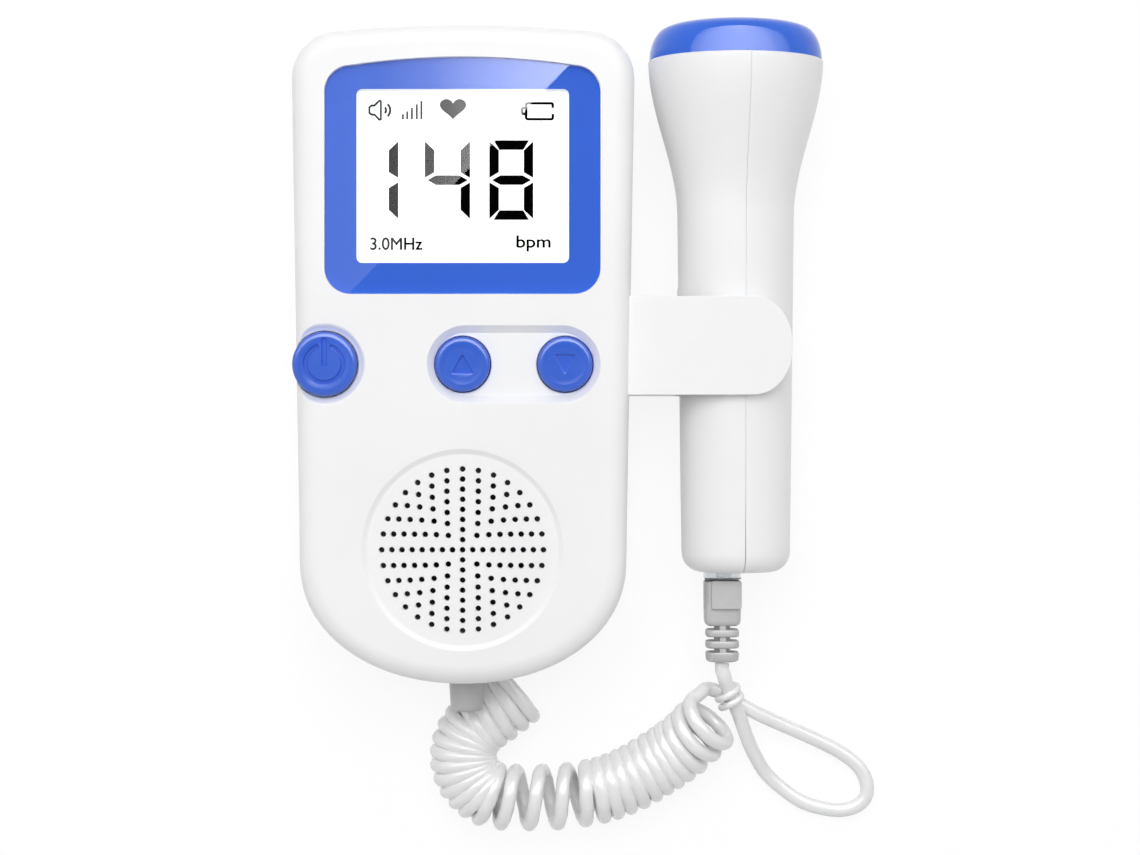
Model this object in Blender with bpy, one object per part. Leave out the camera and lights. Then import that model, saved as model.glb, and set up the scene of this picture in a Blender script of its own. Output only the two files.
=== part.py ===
"""Pocket fetal doppler monitor lying on its back, with its probe clipped in a side holder.

Run with: blender --background --python part.py
Metres, +X to the viewer's right, +Y towards the display end, +Z out of the display.
The origin is the middle of the base of everything but the cord and its plug.
"""
import math

import bmesh
import bpy
from mathutils import Vector

# Case
unit_length = 0.1349
unit_top_width = 0.0702
unit_taper = 0.0033
unit_crown_rise = 0.0012
unit_corner_radius = 0.0098
unit_end_height = 0.0250
unit_end_power_share = 2.1
part_level = 0.0200
side_wall = 0.0020
front_wall = 0.0028
back_wall = 0.0024
front_edge_radius = 0.0040
back_edge_radius = 0.0024
tail_slope_run = 0.0180

# Clearances and overruns
gap = 0.0003
film_gap = 0.00015
overrun = 0.0010

# Display
lens_width = 0.0562
lens_height = 0.0483
lens_corner_radius = 0.0053
lens_crown_rise = 0.0017
lens_thickness = 0.0012
lens_drop = 0.0002
lens_margin = 0.0069
mask_thickness = 0.0003
window_width = 0.0434
window_height = 0.0355
window_corner_radius = 0.0012
opening_margin = 0.0006
lcd_border_x = 0.0024
lcd_border_y = 0.0030
lcd_thickness = 0.0026
lcd_frame_wall = 0.0012

# Circuit board
board_thickness = 0.0016
board_room = 0.0038
board_side_gap = 0.0011
board_top_margin = 0.0115
board_length = 0.0680
frame_height = 0.0038

# Keys
key_row_drop = 0.0143
key_radius = 0.0056
key_spacing = 0.0209
key_rise = 0.0004
key_recess_radius = 0.0077
key_recess_reach = 0.0098
key_recess_centre_x = 0.01045
key_recess_depth = 0.0016
key_recess_slope = 0.0009
key_travel = 0.0008
key_flange = 0.0009
key_flange_thickness = 0.0008
key_stem_radius = 0.0022
key_edge_radius = 0.0005
power_radius = 0.0066
power_rise = 0.0011
power_recess_radius = 0.0080
power_recess_depth = 0.0036
power_inset = 0.0062
power_stem_radius = 0.0029
power_flange = 0.0006
power_cup_wall = 0.0010
icon_depth = 0.0004
icon_ring_outer = 0.0042
icon_ring_inner = 0.0034
icon_bar_width = 0.0011
icon_bar_length = 0.0054
icon_gap_angle = math.radians(46)
arrow_width = 0.0044
arrow_height = 0.0038
switch_side = 0.0060
switch_height = 0.0024
switch_cap_radius = 0.0016
switch_cap_height = 0.0006

# Loudspeaker
speaker_rise = 0.02755
dish_radius = 0.0205
dish_slope = 0.0009
dish_depth = 0.0007
hole_radius = 0.00059
hole_ring_step = 0.00206
hole_rings = 8
holes_per_ring_step = 4
hole_sides = 6
speaker_radius = 0.0180
speaker_depth = 0.0064
speaker_rim_width = 0.0022
speaker_rim_height = 0.0012
speaker_floor_radius = 0.0100
speaker_skin = 0.0008
magnet_radius = 0.0090
magnet_height = 0.0042
cone_dome_radius = 0.0050

# Batteries
cell_radius = 0.0071
cell_length = 0.0490
cell_nub_radius = 0.0027
cell_nub_height = 0.0012
door_half_width = 0.0170
door_length = 0.0620
door_lift = 0.0002
door_tongue = 0.0013
door_tongue_height = 0.0010
door_grip_width = 0.0160
door_grip_depth = 0.0005
door_grip_pitch = 0.0022
door_grip_bars = 4
tray_wall = 0.0022
tray_roof = 0.0012
tray_foot_width = 0.0012
contact_thickness = 0.0004
contact_width = 0.0110
spring_wire_radius = 0.00035
spring_turns = 4
spring_length = 0.0040
spring_radius = 0.0030

# Screws
screw_upper_x = 0.0285
screw_upper_margin = 0.0080
screw_lower_x = 0.0240
screw_lower_margin = 0.0235
screw_post_radius = 0.0029
screw_head_radius = 0.0020
screw_head_height = 0.0015
screw_shank_radius = 0.0010
screw_length = 0.0260
screw_recess = 0.0030

# Headphone socket
socket_drop = 0.0170
socket_width = 0.0064
socket_height = 0.0056
socket_depth = 0.0115
socket_collar_radius = 0.0029
socket_bore_radius = 0.0018

# Cord and its relief
cord_radius = 0.00143
relief_radius = 0.00375
relief_tip_radius = 0.0034
relief_nose_radius = 0.0025
relief_nose_length = 0.0012
relief_length = 0.0069
relief_drop = 0.0012
relief_x = 0.0003
relief_flange_radius = 0.0052
relief_flange_thickness = 0.0016
relief_inlet_depth = 0.00115
relief_inlet_angle = math.radians(41)

# Probe holder
holder_rise = 0.0039
holder_width = 0.0202
holder_reach = 0.0332
holder_arm = 0.0018
holder_corner_radius = 0.0066
holder_tongue_height = 0.0080
holder_tongue_width = 0.0140
holder_lip = 0.0016
cradle_rise = 0.0030
web_rise = 0.0005

# Probe
probe_x_gap = 0.0215
probe_lift = 0.0003
probe_length = 0.1160
probe_grip_height = 0.0470
probe_end_radius = 0.01135
probe_neck_radius = 0.0122
probe_head_radius = 0.0183
probe_end_round = 0.0042
probe_flare_start = 0.0745
probe_flare_end = 0.1069
probe_wall = 0.0016
probe_split_angle = math.radians(6.9)
cap_edge_radius = 0.0030
cap_crown_rise = 0.0013
cap_taper = 0.0011
cap_wall = 0.0016
crystal_radius = 0.0125
crystal_thickness = 0.0020
backing_thickness = 0.0060
probe_board_width = 0.0196
probe_board_length = 0.0560
probe_board_thickness = 0.0012
jack_offset_x = -0.0027
jack_offset_z = -0.0022
jack_length = 0.0145
jack_wall = 0.0013

# Plug on the cord
plug_width = 0.00765
plug_height = 0.0062
plug_length = 0.0112
plug_reach = 0.0019
latch_width = 0.0032
latch_thickness = 0.0008
latch_lift = 0.0013
boot_width = 0.0077
boot_block_length = 0.0095
boot_rib_width = 0.0070
boot_rib_length = 0.0016
boot_last_rib_length = 0.0022
boot_slot = 0.00076
boot_ribs = 3
boot_core_radius = 0.0021
boot_web_width = 0.0013
boot_panel_width = 0.0063
boot_panel_length = 0.0058
boot_panel_shift = 0.0007
boot_panel_height = 0.0009
boot_taper_share = 0.03
boot_last_taper_share = 0.08
boot_corner_radius = 0.0013

# Curly cord
curl_radius = 0.00577
curl_closed_step = 0.00332
curl_open_step = 0.0052
curl_open_from = 0.0060
curl_open_to = 0.0290
curl_points = 9
curl_end_run = 0.0030
curl_bend_span = 0.0040
bend_margin_share = 0.04
least_inner_share = 0.25
lead_point_step = 0.0031

# Tie round the two strands
tie_wire_radius = 0.00055
tie_half_width = 0.0041
tie_half_height = 0.0057
tie_run = 0.00385
tie_slope_share = 0.35
tie_start_angle = math.radians(-45)
tie_sweep = math.radians(630)
tie_steps = 26
tie_centre = Vector((0.0562, -0.0723, 0.0102))
tie_direction = Vector((0.385, -0.923, 0.0))

# Route of the lead, from the plug's boot round the loop to the curls, in the case's own frame
lead_route = [
    (0.05435, -0.0672, 0.01625),
    (0.0548, -0.0688, 0.01530),
    (0.0556, -0.0709, 0.01340),
    (0.0567, -0.0733, 0.01150),
    (0.0579, -0.0762, 0.00970),
    (0.0592, -0.0798, 0.00740),
    (0.0611, -0.0844, 0.00460),
    (0.0639, -0.0892, 0.00230),
    (0.0678, -0.0929, 0.00160),
    (0.0720, -0.0958, 0.00155),
    (0.0761, -0.0973, 0.00155),
    (0.0801, -0.0978, 0.00155),
    (0.0838, -0.0968, 0.00155),
    (0.0860, -0.0947, 0.00155),
    (0.0862, -0.0917, 0.00155),
    (0.0845, -0.0886, 0.00155),
    (0.0817, -0.0860, 0.00160),
    (0.0775, -0.0835, 0.00200),
    (0.0721, -0.0809, 0.00300),
    (0.0668, -0.0785, 0.00440),
    (0.0624, -0.0764, 0.00590),
    (0.0592, -0.0746, 0.00690),
    (0.0563, -0.0728, 0.00710),
    (0.0547, -0.0719, 0.00710),
]
# First stretch of the curled cord, before its first full curl
curl_lead_in = [
    (0.0543, -0.0717, 0.00710),
    (0.0530, -0.07117, 0.00710),
    (0.0517, -0.07080, 0.00720),
    (0.0506, -0.07080, 0.00840),
    (0.0497, -0.07130, 0.01050),
]
# Middle line of the curls
curl_axis = [
    (0.0519, -0.0765, 0.01220),
    (0.0497, -0.0790, 0.01080),
    (0.0470, -0.0819, 0.00920),
    (0.0437, -0.0846, 0.00800),
    (0.0396, -0.0873, 0.00740),
    (0.0347, -0.0901, 0.00730),
    (0.0292, -0.0922, 0.00730),
    (0.0234, -0.0935, 0.00730),
    (0.0176, -0.0941, 0.00730),
    (0.0124, -0.0942, 0.00730),
    (0.0080, -0.0939, 0.00730),
    (0.0042, -0.0931, 0.00730),
    (0.0012, -0.0907, 0.00730),
    (-0.0004, -0.0880, 0.00730),
    (-0.0009, -0.0850, 0.00730),
    (-0.0004, -0.0820, 0.00730),
    (0.0012, -0.0793, 0.00730),
    (0.0036, -0.0773, 0.00730),
    (0.0073, -0.0747, 0.00730),
    (0.0110, -0.07165, 0.00730),
]
# The tail between its straight ends at the curls and at the relief
tail_route = [
    (0.0066, -0.0670, 0.01370),
]

# Places worked out from the sizes above
unit_low_width = unit_top_width - unit_taper
tray_low_level = back_wall + gap
cell_level = back_wall + gap + door_tongue_height + gap + cell_radius + gap
tray_high_level = cell_level + cell_radius + gap + tray_roof
board_back = tray_high_level + board_room
board_front = board_back + board_thickness
frame_back = board_front + gap
frame_front = frame_back + frame_height
lcd_back = frame_front + gap
lcd_front = lcd_back + lcd_thickness
front_inner = lcd_front + gap
unit_depth = front_inner + front_wall
unit_top = unit_length / 2
unit_low = -unit_length / 2
end_centre_y = unit_low + unit_end_height
lens_top = unit_top - lens_margin
lens_centre_y = lens_top - lens_height / 2
lens_face = unit_depth - lens_drop
lens_back = lens_face - lens_thickness
mask_front = lens_back - film_gap
mask_back = mask_front - mask_thickness
lens_pocket_floor = mask_back - film_gap
board_top = unit_top - board_top_margin
board_low = board_top - board_length
key_row_y = lens_top - lens_height - key_row_drop
up_key_x = key_recess_centre_x - key_spacing / 2
down_key_x = key_recess_centre_x + key_spacing / 2
power_x = power_inset - unit_top_width / 2 + unit_taper / 4
key_floor = unit_depth - key_recess_depth
power_floor = unit_depth - power_recess_depth
switch_top = board_front + gap + switch_height + switch_cap_height
stem_low = switch_top + key_travel + film_gap
speaker_y = unit_low + speaker_rise
speaker_front = front_inner - gap
door_low_y = unit_top - door_length
door_top_level = back_wall + gap
cells_top_y = unit_top - side_wall - unit_crown_rise - gap - tray_wall - contact_thickness - gap
socket_y = key_row_y - socket_drop
socket_level = board_back - gap - socket_height / 2
holder_y = key_row_y + holder_rise
unit_side_x = unit_top_width / 2 - unit_taper / 4
probe_x = unit_top_width / 2 + probe_x_gap
probe_axis_level = probe_lift + probe_head_radius
holder_floor = probe_axis_level - probe_neck_radius - gap - holder_arm
holder_top = probe_axis_level + probe_neck_radius + gap + holder_arm
relief_level = part_level - relief_drop
probe_low_y = holder_y - probe_grip_height
probe_high_y = probe_low_y + probe_length
plug_x = probe_x + jack_offset_x
plug_level = probe_axis_level + jack_offset_z
boot_top_y = probe_low_y - plug_reach
relief_tip_y = unit_low - relief_length
frame_shift_x = -(probe_x + probe_head_radius - unit_top_width / 2) / 2
frame_shift_y = -(probe_high_y + relief_tip_y) / 2


def clear_scene():
    for item in list(bpy.data.objects):
        bpy.data.objects.remove(item, do_unlink=True)


def colour_channel(value):
    return value / 12.92 if value <= 0.04045 else ((value + 0.055) / 1.055) ** 2.4


def make_material(name, hex_colour, roughness, metallic=0.0, alpha=1.0):
    material = bpy.data.materials.new(name)
    material.use_nodes = True
    shader = material.node_tree.nodes["Principled BSDF"]
    channels = [int(hex_colour[start:start + 2], 16) / 255 for start in (0, 2, 4)]
    colour = [colour_channel(value) for value in channels]
    shader.inputs["Base Color"].default_value = (*colour, 1.0)
    shader.inputs["Roughness"].default_value = roughness
    shader.inputs["Metallic"].default_value = metallic
    shader.inputs["Alpha"].default_value = alpha
    return material


def add_object(name, data, material, location=(0, 0, 0), parent=None):
    item = bpy.data.objects.new(name, data)
    bpy.context.scene.collection.objects.link(item)
    item.location = location
    item.parent = parent or case_frame
    if material is not None:
        data.materials.append(material)
    return item


def add_bmesh(name, bm, material, location=(0, 0, 0), parent=None, smooth_angle=30):
    bmesh.ops.recalc_face_normals(bm, faces=bm.faces)
    mesh = bpy.data.meshes.new(name)
    bm.to_mesh(mesh)
    bm.free()
    mesh.shade_smooth()
    mesh.set_sharp_from_angle(angle=math.radians(smooth_angle))
    return add_object(name, mesh, material, location, parent)


def add_empty(name, location, parent=None):
    item = bpy.data.objects.new(name, None)
    bpy.context.scene.collection.objects.link(item)
    item.location = location
    item.parent = parent
    return item


def loft(name, rings, material, location=(0, 0, 0), parent=None, closed=False):
    """Join rings of equal point counts. A ring of one point closes to a pole."""
    bm = bmesh.new()
    levels = [[bm.verts.new(point) for point in ring] for ring in rings]
    pairs = list(zip(levels, levels[1:]))
    if closed:
        pairs.append((levels[-1], levels[0]))
    for lower, upper in pairs:
        count = max(len(lower), len(upper))
        for index in range(count):
            after = (index + 1) % count
            if len(lower) == 1:
                bm.faces.new((lower[0], upper[after], upper[index]))
            elif len(upper) == 1:
                bm.faces.new((lower[index], lower[after], upper[0]))
            else:
                bm.faces.new((lower[index], lower[after], upper[after], upper[index]))
    if not closed:
        for end in (levels[0], levels[-1]):
            if len(end) > 1:
                bm.faces.new(end)
    return add_bmesh(name, bm, material, location, parent)


def circle(radius, sides, level=0.0, centre=(0.0, 0.0), turn=0.0):
    points = []
    for index in range(sides):
        angle = turn + 2 * math.pi * index / sides
        x = centre[0] + radius * math.cos(angle)
        y = centre[1] + radius * math.sin(angle)
        points.append((x, y, level))
    return points


def turned(name, profile, material, location=(0, 0, 0), parent=None, sides=28, along_y=False, closed=False):
    """Turn (radius, height) points about local Z, or about world Y when along_y is set."""
    rings = []
    for radius, height in profile:
        ring = [(0.0, 0.0, height)] if radius == 0 else circle(radius, sides, height)
        rings.append(ring)
    item = loft(name, rings, material, location, parent, closed)
    if along_y:
        item.rotation_euler = (-math.pi / 2, 0, 0)
    return item


def prism(name, outline, low, high, material, location=(0, 0, 0), parent=None):
    rings = [[(x, y, level) for x, y in outline] for level in (low, high)]
    return loft(name, rings, material, location, parent)


def box(name, low, high, material, location=(0, 0, 0), parent=None):
    outline = [(low[0], low[1]), (high[0], low[1]), (high[0], high[1]), (low[0], high[1])]
    return prism(name, outline, low[2], high[2], material, location, parent)


def apply_boolean(item, other, operation):
    modifier = item.modifiers.new(other.name, "BOOLEAN")
    modifier.operation = operation
    modifier.solver = "EXACT"
    modifier.object = other
    other.hide_render = True
    other.display_type = "WIRE"


def cut(item, *others):
    for other in others:
        apply_boolean(item, other, "DIFFERENCE")


def fuse(item, *others):
    for other in others:
        apply_boolean(item, other, "UNION")


def keep_inside(item, other):
    apply_boolean(item, other, "INTERSECT")


def arc(centre, radius, start, end, steps):
    points = []
    for index in range(steps + 1):
        angle = start + (end - start) * index / steps
        points.append((centre[0] + radius * math.cos(angle), centre[1] + radius * math.sin(angle)))
    return points


def rounded_rectangle(width, height, radius, centre=(0.0, 0.0), steps=3):
    points = []
    for quarter, (side_x, side_y) in enumerate(((1, 1), (-1, 1), (-1, -1), (1, -1))):
        corner = (centre[0] + side_x * (width / 2 - radius), centre[1] + side_y * (height / 2 - radius))
        points += arc(corner, radius, quarter * math.pi / 2, (quarter + 1) * math.pi / 2, steps)
    return points


def stadium(radius, reach, centre, steps=8):
    right = arc((centre[0] + reach, centre[1]), radius, -math.pi / 2, math.pi / 2, steps)
    left = arc((centre[0] - reach, centre[1]), radius, math.pi / 2, 3 * math.pi / 2, steps)
    return right + left


def mirrored(right_half):
    """Close a half outline that runs from the bottom middle to the top middle."""
    left_half = [(-x, y) for x, y in reversed(right_half) if x > 0]
    return right_half + left_half


def unit_outline(inset=0.0):
    half_top = unit_top_width / 2 - inset
    half_low = unit_low_width / 2 - inset
    end_height = unit_end_height - inset
    radius = unit_corner_radius - inset
    top = unit_top - inset
    half = []
    end_steps = 12
    for index in range(end_steps + 1):
        angle = -math.pi / 2 + math.pi / 2 * index / end_steps
        x = half_low * max(math.cos(angle), 0.0) ** (2 / unit_end_power_share)
        y = end_centre_y - end_height * abs(math.sin(angle)) ** (2 / unit_end_power_share)
        half.append((0.0 if index == 0 else x, y))
    corner_x = half_top - radius
    corner_y = top - unit_crown_rise - radius
    half += arc((corner_x, corner_y), radius, 0, math.pi / 2, 6)
    half.append((corner_x / 2, top - unit_crown_rise / 4))
    half.append((0.0, top))
    return mirrored(half)


def lens_outline(inset=0.0):
    half_width = lens_width / 2 - inset
    radius = lens_corner_radius - inset
    low = lens_centre_y - lens_height / 2 + inset
    top = lens_top - inset
    half = [(0.0, low)]
    half += arc((half_width - radius, low + radius), radius, -math.pi / 2, 0, 4)
    shoulder = top - lens_crown_rise
    half += arc((half_width - radius, shoulder - radius), radius, 0, math.pi / 2, 4)
    half.append(((half_width - radius) / 2, top - lens_crown_rise / 4))
    half.append((0.0, top))
    return mirrored(half)


def ring_at(outline, level):
    return [(x, y, level) for x, y in outline]


def rounding(radius, steps):
    """Give (inset, drop) pairs round a convex edge, from the side to the face."""
    pairs = []
    for index in range(1, steps + 1):
        angle = math.pi / 2 * index / steps
        pairs.append((radius * (1 - math.cos(angle)), radius * (1 - math.sin(angle))))
    return pairs


def screw_places():
    upper_y = unit_top - screw_upper_margin
    lower_y = unit_low + screw_lower_margin
    return [
        (-screw_upper_x, upper_y),
        (screw_upper_x, upper_y),
        (-screw_lower_x, lower_y),
        (screw_lower_x, lower_y),
    ]


def relief_passage(name):
    """Hollow through both covers for the relief's neck and its inner flange."""
    neck = relief_radius + gap
    flange = relief_flange_radius + gap
    flange_start = side_wall + gap
    flange_end = flange_start + relief_flange_thickness + gap
    profile = [
        (0, -overrun),
        (neck, -overrun),
        (neck, flange_start - gap),
        (flange, flange_start - gap),
        (flange, flange_end),
        (0, flange_end),
    ]
    return turned(name, profile, None, (relief_x, unit_low, relief_level), sides=20, along_y=True)


def build_front_cover():
    part = part_level + gap / 2
    rings = [
        ring_at(unit_outline(side_wall + gap), front_inner),
        ring_at(unit_outline(side_wall), part),
        ring_at(unit_outline(), part),
        ring_at(unit_outline(), unit_depth - front_edge_radius),
    ]
    for inset, drop in rounding(front_edge_radius, 4):
        rings.append(ring_at(unit_outline(inset), unit_depth - drop))
    cover = loft("front_cover", rings, white_plastic)

    cup_centre = (power_x, key_row_y)
    cup_low = power_floor - power_cup_wall
    cup_outline = [point[:2] for point in circle(power_recess_radius + power_cup_wall, 24, centre=cup_centre)]
    cup = prism("power_cup", cup_outline, cup_low, front_inner + overrun, None)
    bounds = prism("power_cup_bounds", unit_outline(side_wall / 2), cup_low - overrun, unit_depth, None)
    keep_inside(cup, bounds)
    bounds.parent = case_frame
    fuse(cover, cup)
    for index, (x, y) in enumerate(screw_places()):
        post_outline = [point[:2] for point in circle(screw_post_radius, 12, centre=(x, y))]
        post = prism(f"front_post_{index}", post_outline, part, front_inner + overrun, None)
        fuse(cover, post)
        bore_outline = [point[:2] for point in circle(screw_shank_radius + gap, 8, centre=(x, y))]
        cut(cover, prism(f"front_bore_{index}", bore_outline, part - overrun, screw_length + gap, None))

    pocket = prism("lens_pocket", lens_outline(-gap), lens_pocket_floor, unit_depth + overrun, None)
    opening_outline = rounded_rectangle(
        window_width + 2 * opening_margin,
        window_height + 2 * opening_margin,
        window_corner_radius,
        (0, lens_centre_y),
    )
    opening = prism("display_opening", opening_outline, front_inner - overrun, unit_depth, None)
    cut(cover, pocket, opening)

    recess_centre = (key_recess_centre_x, key_row_y)
    recess_rings = [
        ring_at(stadium(key_recess_radius - key_recess_slope, key_recess_reach, recess_centre), key_floor),
        ring_at(stadium(key_recess_radius, key_recess_reach, recess_centre), unit_depth),
        ring_at(stadium(key_recess_radius, key_recess_reach, recess_centre), unit_depth + overrun),
    ]
    cut(cover, loft("key_recess", recess_rings, None))
    for name, x in (("up_key_hole", up_key_x), ("down_key_hole", down_key_x)):
        hole_outline = [point[:2] for point in circle(key_radius + gap, 24, centre=(x, key_row_y))]
        cut(cover, prism(name, hole_outline, front_inner - overrun, unit_depth, None))
    recess_outline = [point[:2] for point in circle(power_recess_radius, 28, centre=cup_centre)]
    cut(cover, prism("power_recess", recess_outline, power_floor, unit_depth + overrun, None))
    stem_outline = [point[:2] for point in circle(power_stem_radius + gap, 16, centre=cup_centre)]
    cut(cover, prism("power_stem_hole", stem_outline, cup_low - overrun, unit_depth, None))

    dish_profile = [
        (0, unit_depth - dish_depth),
        (dish_radius - dish_slope, unit_depth - dish_depth),
        (dish_radius, unit_depth),
        (dish_radius, unit_depth + overrun),
        (0, unit_depth + overrun),
    ]
    cut(cover, turned("speaker_dish", dish_profile, None, (0, speaker_y, 0), sides=40))
    cut(cover, build_speaker_holes())
    cut(cover, holder_slot("front_holder_slot"), socket_passage("front_socket_hole"))
    cut(cover, relief_passage("front_relief_passage"))
    return cover


def build_speaker_holes():
    """One centre hole and rings of 4, 8, 12 and so on holes round it."""
    bm = bmesh.new()
    low = front_inner - overrun
    high = unit_depth + overrun
    places = [(0.0, 0.0)]
    for ring in range(1, hole_rings + 1):
        count = holes_per_ring_step * ring
        for index in range(count):
            angle = math.pi / 2 + 2 * math.pi * index / count
            radius = ring * hole_ring_step
            places.append((radius * math.cos(angle), radius * math.sin(angle)))
    for centre in places:
        lower = [bm.verts.new(point) for point in circle(hole_radius, hole_sides, low, centre)]
        upper = [bm.verts.new(point) for point in circle(hole_radius, hole_sides, high, centre)]
        bm.faces.new(lower)
        bm.faces.new(upper)
        for index in range(hole_sides):
            after = (index + 1) % hole_sides
            bm.faces.new((lower[index], lower[after], upper[after], upper[index]))
    return add_bmesh("speaker_holes", bm, None, (0, speaker_y, 0))


def tail_wedge(name, inset, material=None):
    """Wedge that slopes the lower end of the back, moved inwards by inset."""
    run = tail_slope_run
    slope = run / part_level
    side_run = unit_top_width
    low_y = unit_low + inset * math.hypot(1, slope)
    reach = slope * overrun
    outline = [
        (low_y + run + reach, -overrun),
        (low_y, part_level),
        (low_y, part_level + overrun),
        (unit_low - run, part_level + overrun),
        (unit_low - run, -overrun),
    ]
    rings = [[(x, y, z) for y, z in outline] for x in (-side_run, side_run)]
    return loft(name, rings, material)


def build_back_cover():
    part = part_level - gap / 2
    rings = []
    for inset, drop in reversed(rounding(back_edge_radius, 3)):
        rings.append(ring_at(unit_outline(inset), drop))
    rings.append(ring_at(unit_outline(), back_edge_radius))
    rings.append(ring_at(unit_outline(), part))
    cover = loft("back_cover", rings, white_plastic)
    cut(cover, tail_wedge("tail_wedge", 0.0))
    hollow_rings = [
        ring_at(unit_outline(side_wall + gap), back_wall),
        ring_at(unit_outline(side_wall), back_wall + side_wall),
        ring_at(unit_outline(side_wall), part + overrun),
    ]
    hollow = loft("back_hollow", hollow_rings, None)
    cut(hollow, tail_wedge("tail_wedge_inner", side_wall))
    cut(cover, hollow)
    for index, (x, y) in enumerate(screw_places()):
        post_outline = [point[:2] for point in circle(screw_post_radius, 12, centre=(x, y))]
        fuse(cover, prism(f"back_post_{index}", post_outline, back_wall / 2, part, None))
        head_outline = [point[:2] for point in circle(screw_head_radius + gap, 12, centre=(x, y))]
        bore_outline = [point[:2] for point in circle(screw_shank_radius + gap, 8, centre=(x, y))]
        cut(cover, prism(f"back_head_{index}", head_outline, -overrun, screw_recess, None))
        cut(cover, prism(f"back_bore_{index}", bore_outline, 0, part + overrun, None))
    half = door_half_width + gap
    low = (-half, door_low_y - gap, -overrun)
    cut(cover, box("door_opening", low, (half, unit_top + overrun, back_wall + overrun), None))
    tongue = half + door_tongue
    end_low = (-tongue, unit_top - side_wall - 3 * unit_crown_rise, back_wall)
    end_high = (tongue, unit_top + overrun, door_top_level + door_tongue_height + gap)
    cut(cover, box("door_end_opening", end_low, end_high, None))
    cut(cover, holder_slot("back_holder_slot"), socket_passage("back_socket_hole"))
    cut(cover, relief_passage("back_relief_passage"))
    return cover


def build_door():
    """Flat sliding door with tongues that run over the back wall's inner face."""
    low = (-door_half_width, door_low_y, door_lift)
    high = (door_half_width, unit_top + overrun, door_top_level + door_tongue_height)
    door = box("battery_door", low, high, white_plastic)
    tongue = door_half_width + door_tongue
    tongue_low = (-tongue, door_low_y + side_wall, door_top_level)
    tongue_high = (tongue, unit_top + overrun, door_top_level + door_tongue_height)
    fuse(door, box("door_tongues", tongue_low, tongue_high, None))
    bounds = prism("door_bounds", unit_outline(), -overrun, part_level, None)
    keep_inside(door, bounds)
    for index in range(door_grip_bars):
        bar_y = door_low_y + (index + 2) * door_grip_pitch
        bar_low = (-door_grip_width / 2, bar_y, -overrun)
        bar_high = (door_grip_width / 2, bar_y + door_grip_pitch / 2, door_lift + door_grip_depth)
        cut(door, box(f"door_grip_{index}", bar_low, bar_high, None))


def build_screws():
    for index, (x, y) in enumerate(screw_places()):
        head_base = screw_recess - gap
        profile = [
            (0, head_base - screw_head_height),
            (screw_head_radius, head_base - screw_head_height),
            (screw_head_radius, head_base),
            (screw_shank_radius, head_base),
            (screw_shank_radius, screw_length - screw_shank_radius),
            (0, screw_length),
        ]
        turned(f"case_screw_{index + 1}", profile, steel, (x, y, 0), sides=10)


def build_display():
    prism("display_lens", lens_outline(), lens_back, lens_face, clear_plastic)
    mask = prism("display_mask", lens_outline(film_gap), mask_back, mask_front, blue_plastic)
    window_outline = rounded_rectangle(window_width, window_height, window_corner_radius, (0, lens_centre_y))
    cut(mask, prism("mask_window", window_outline, mask_back - overrun, mask_front + overrun, None))
    half_x = window_width / 2 + lcd_border_x
    half_y = window_height / 2 + lcd_border_y
    low_y = lens_centre_y - half_y
    high_y = lens_centre_y + half_y
    box("lcd_glass", (-half_x, low_y, lcd_back), (half_x, high_y, lcd_front), lcd_grey)
    frame = box("lcd_frame", (-half_x, low_y, frame_back), (half_x, high_y, frame_front), white_plastic)
    inner_x = half_x - lcd_frame_wall
    inner_low = (-inner_x, low_y + lcd_frame_wall, frame_back - overrun)
    inner_high = (inner_x, high_y - lcd_frame_wall, frame_front + overrun)
    cut(frame, box("lcd_frame_hollow", inner_low, inner_high, None))


def build_board():
    half = unit_side_x - side_wall - board_side_gap
    box("main_board", (-half, board_low, board_back), (half, board_top, board_front), board_green)
    for name, x in (("power_switch", power_x), ("up_switch", up_key_x), ("down_switch", down_key_x)):
        side = switch_side / 2
        base = board_front + gap
        base_high = (side, side, base + switch_height)
        switch = box(name, (-side, -side, base), base_high, black_plastic, (x, key_row_y, 0))
        cap_outline = [point[:2] for point in circle(switch_cap_radius, 12)]
        cap_low = base + switch_height - film_gap
        cap = prism(f"{name}_plunger", cap_outline, cap_low, switch_top, None, (x, key_row_y, 0))
        fuse(switch, cap)


def key_profile(radius, top, low, flange, stem):
    """Turned key: a rounded cap, a retaining flange under the cover and a stem to the switch."""
    edge = key_edge_radius
    return [
        (0, stem_low),
        (stem, stem_low),
        (stem, low),
        (flange, low),
        (flange, low + key_flange_thickness),
        (radius, low + key_flange_thickness),
        (radius, top - edge),
        (radius - edge / 3, top - edge / 3),
        (radius - edge, top),
        (0, top),
    ]


def build_keys():
    top = unit_depth + key_rise
    low = front_inner - gap - key_flange_thickness
    profile = key_profile(key_radius, top, low, key_radius + key_flange, key_stem_radius)
    for name, x, up in (("up_key", up_key_x, 1), ("down_key", down_key_x, -1)):
        key = turned(name, profile, blue_plastic, (x, key_row_y, 0), sides=28)
        half = arrow_width / 2
        outline = [(-half, -up * arrow_height / 2), (half, -up * arrow_height / 2), (0, up * arrow_height / 2)]
        cut(key, prism(f"{name}_arrow", outline, top - icon_depth, top + overrun, None, (x, key_row_y, 0)))
    build_power_key()


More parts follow.
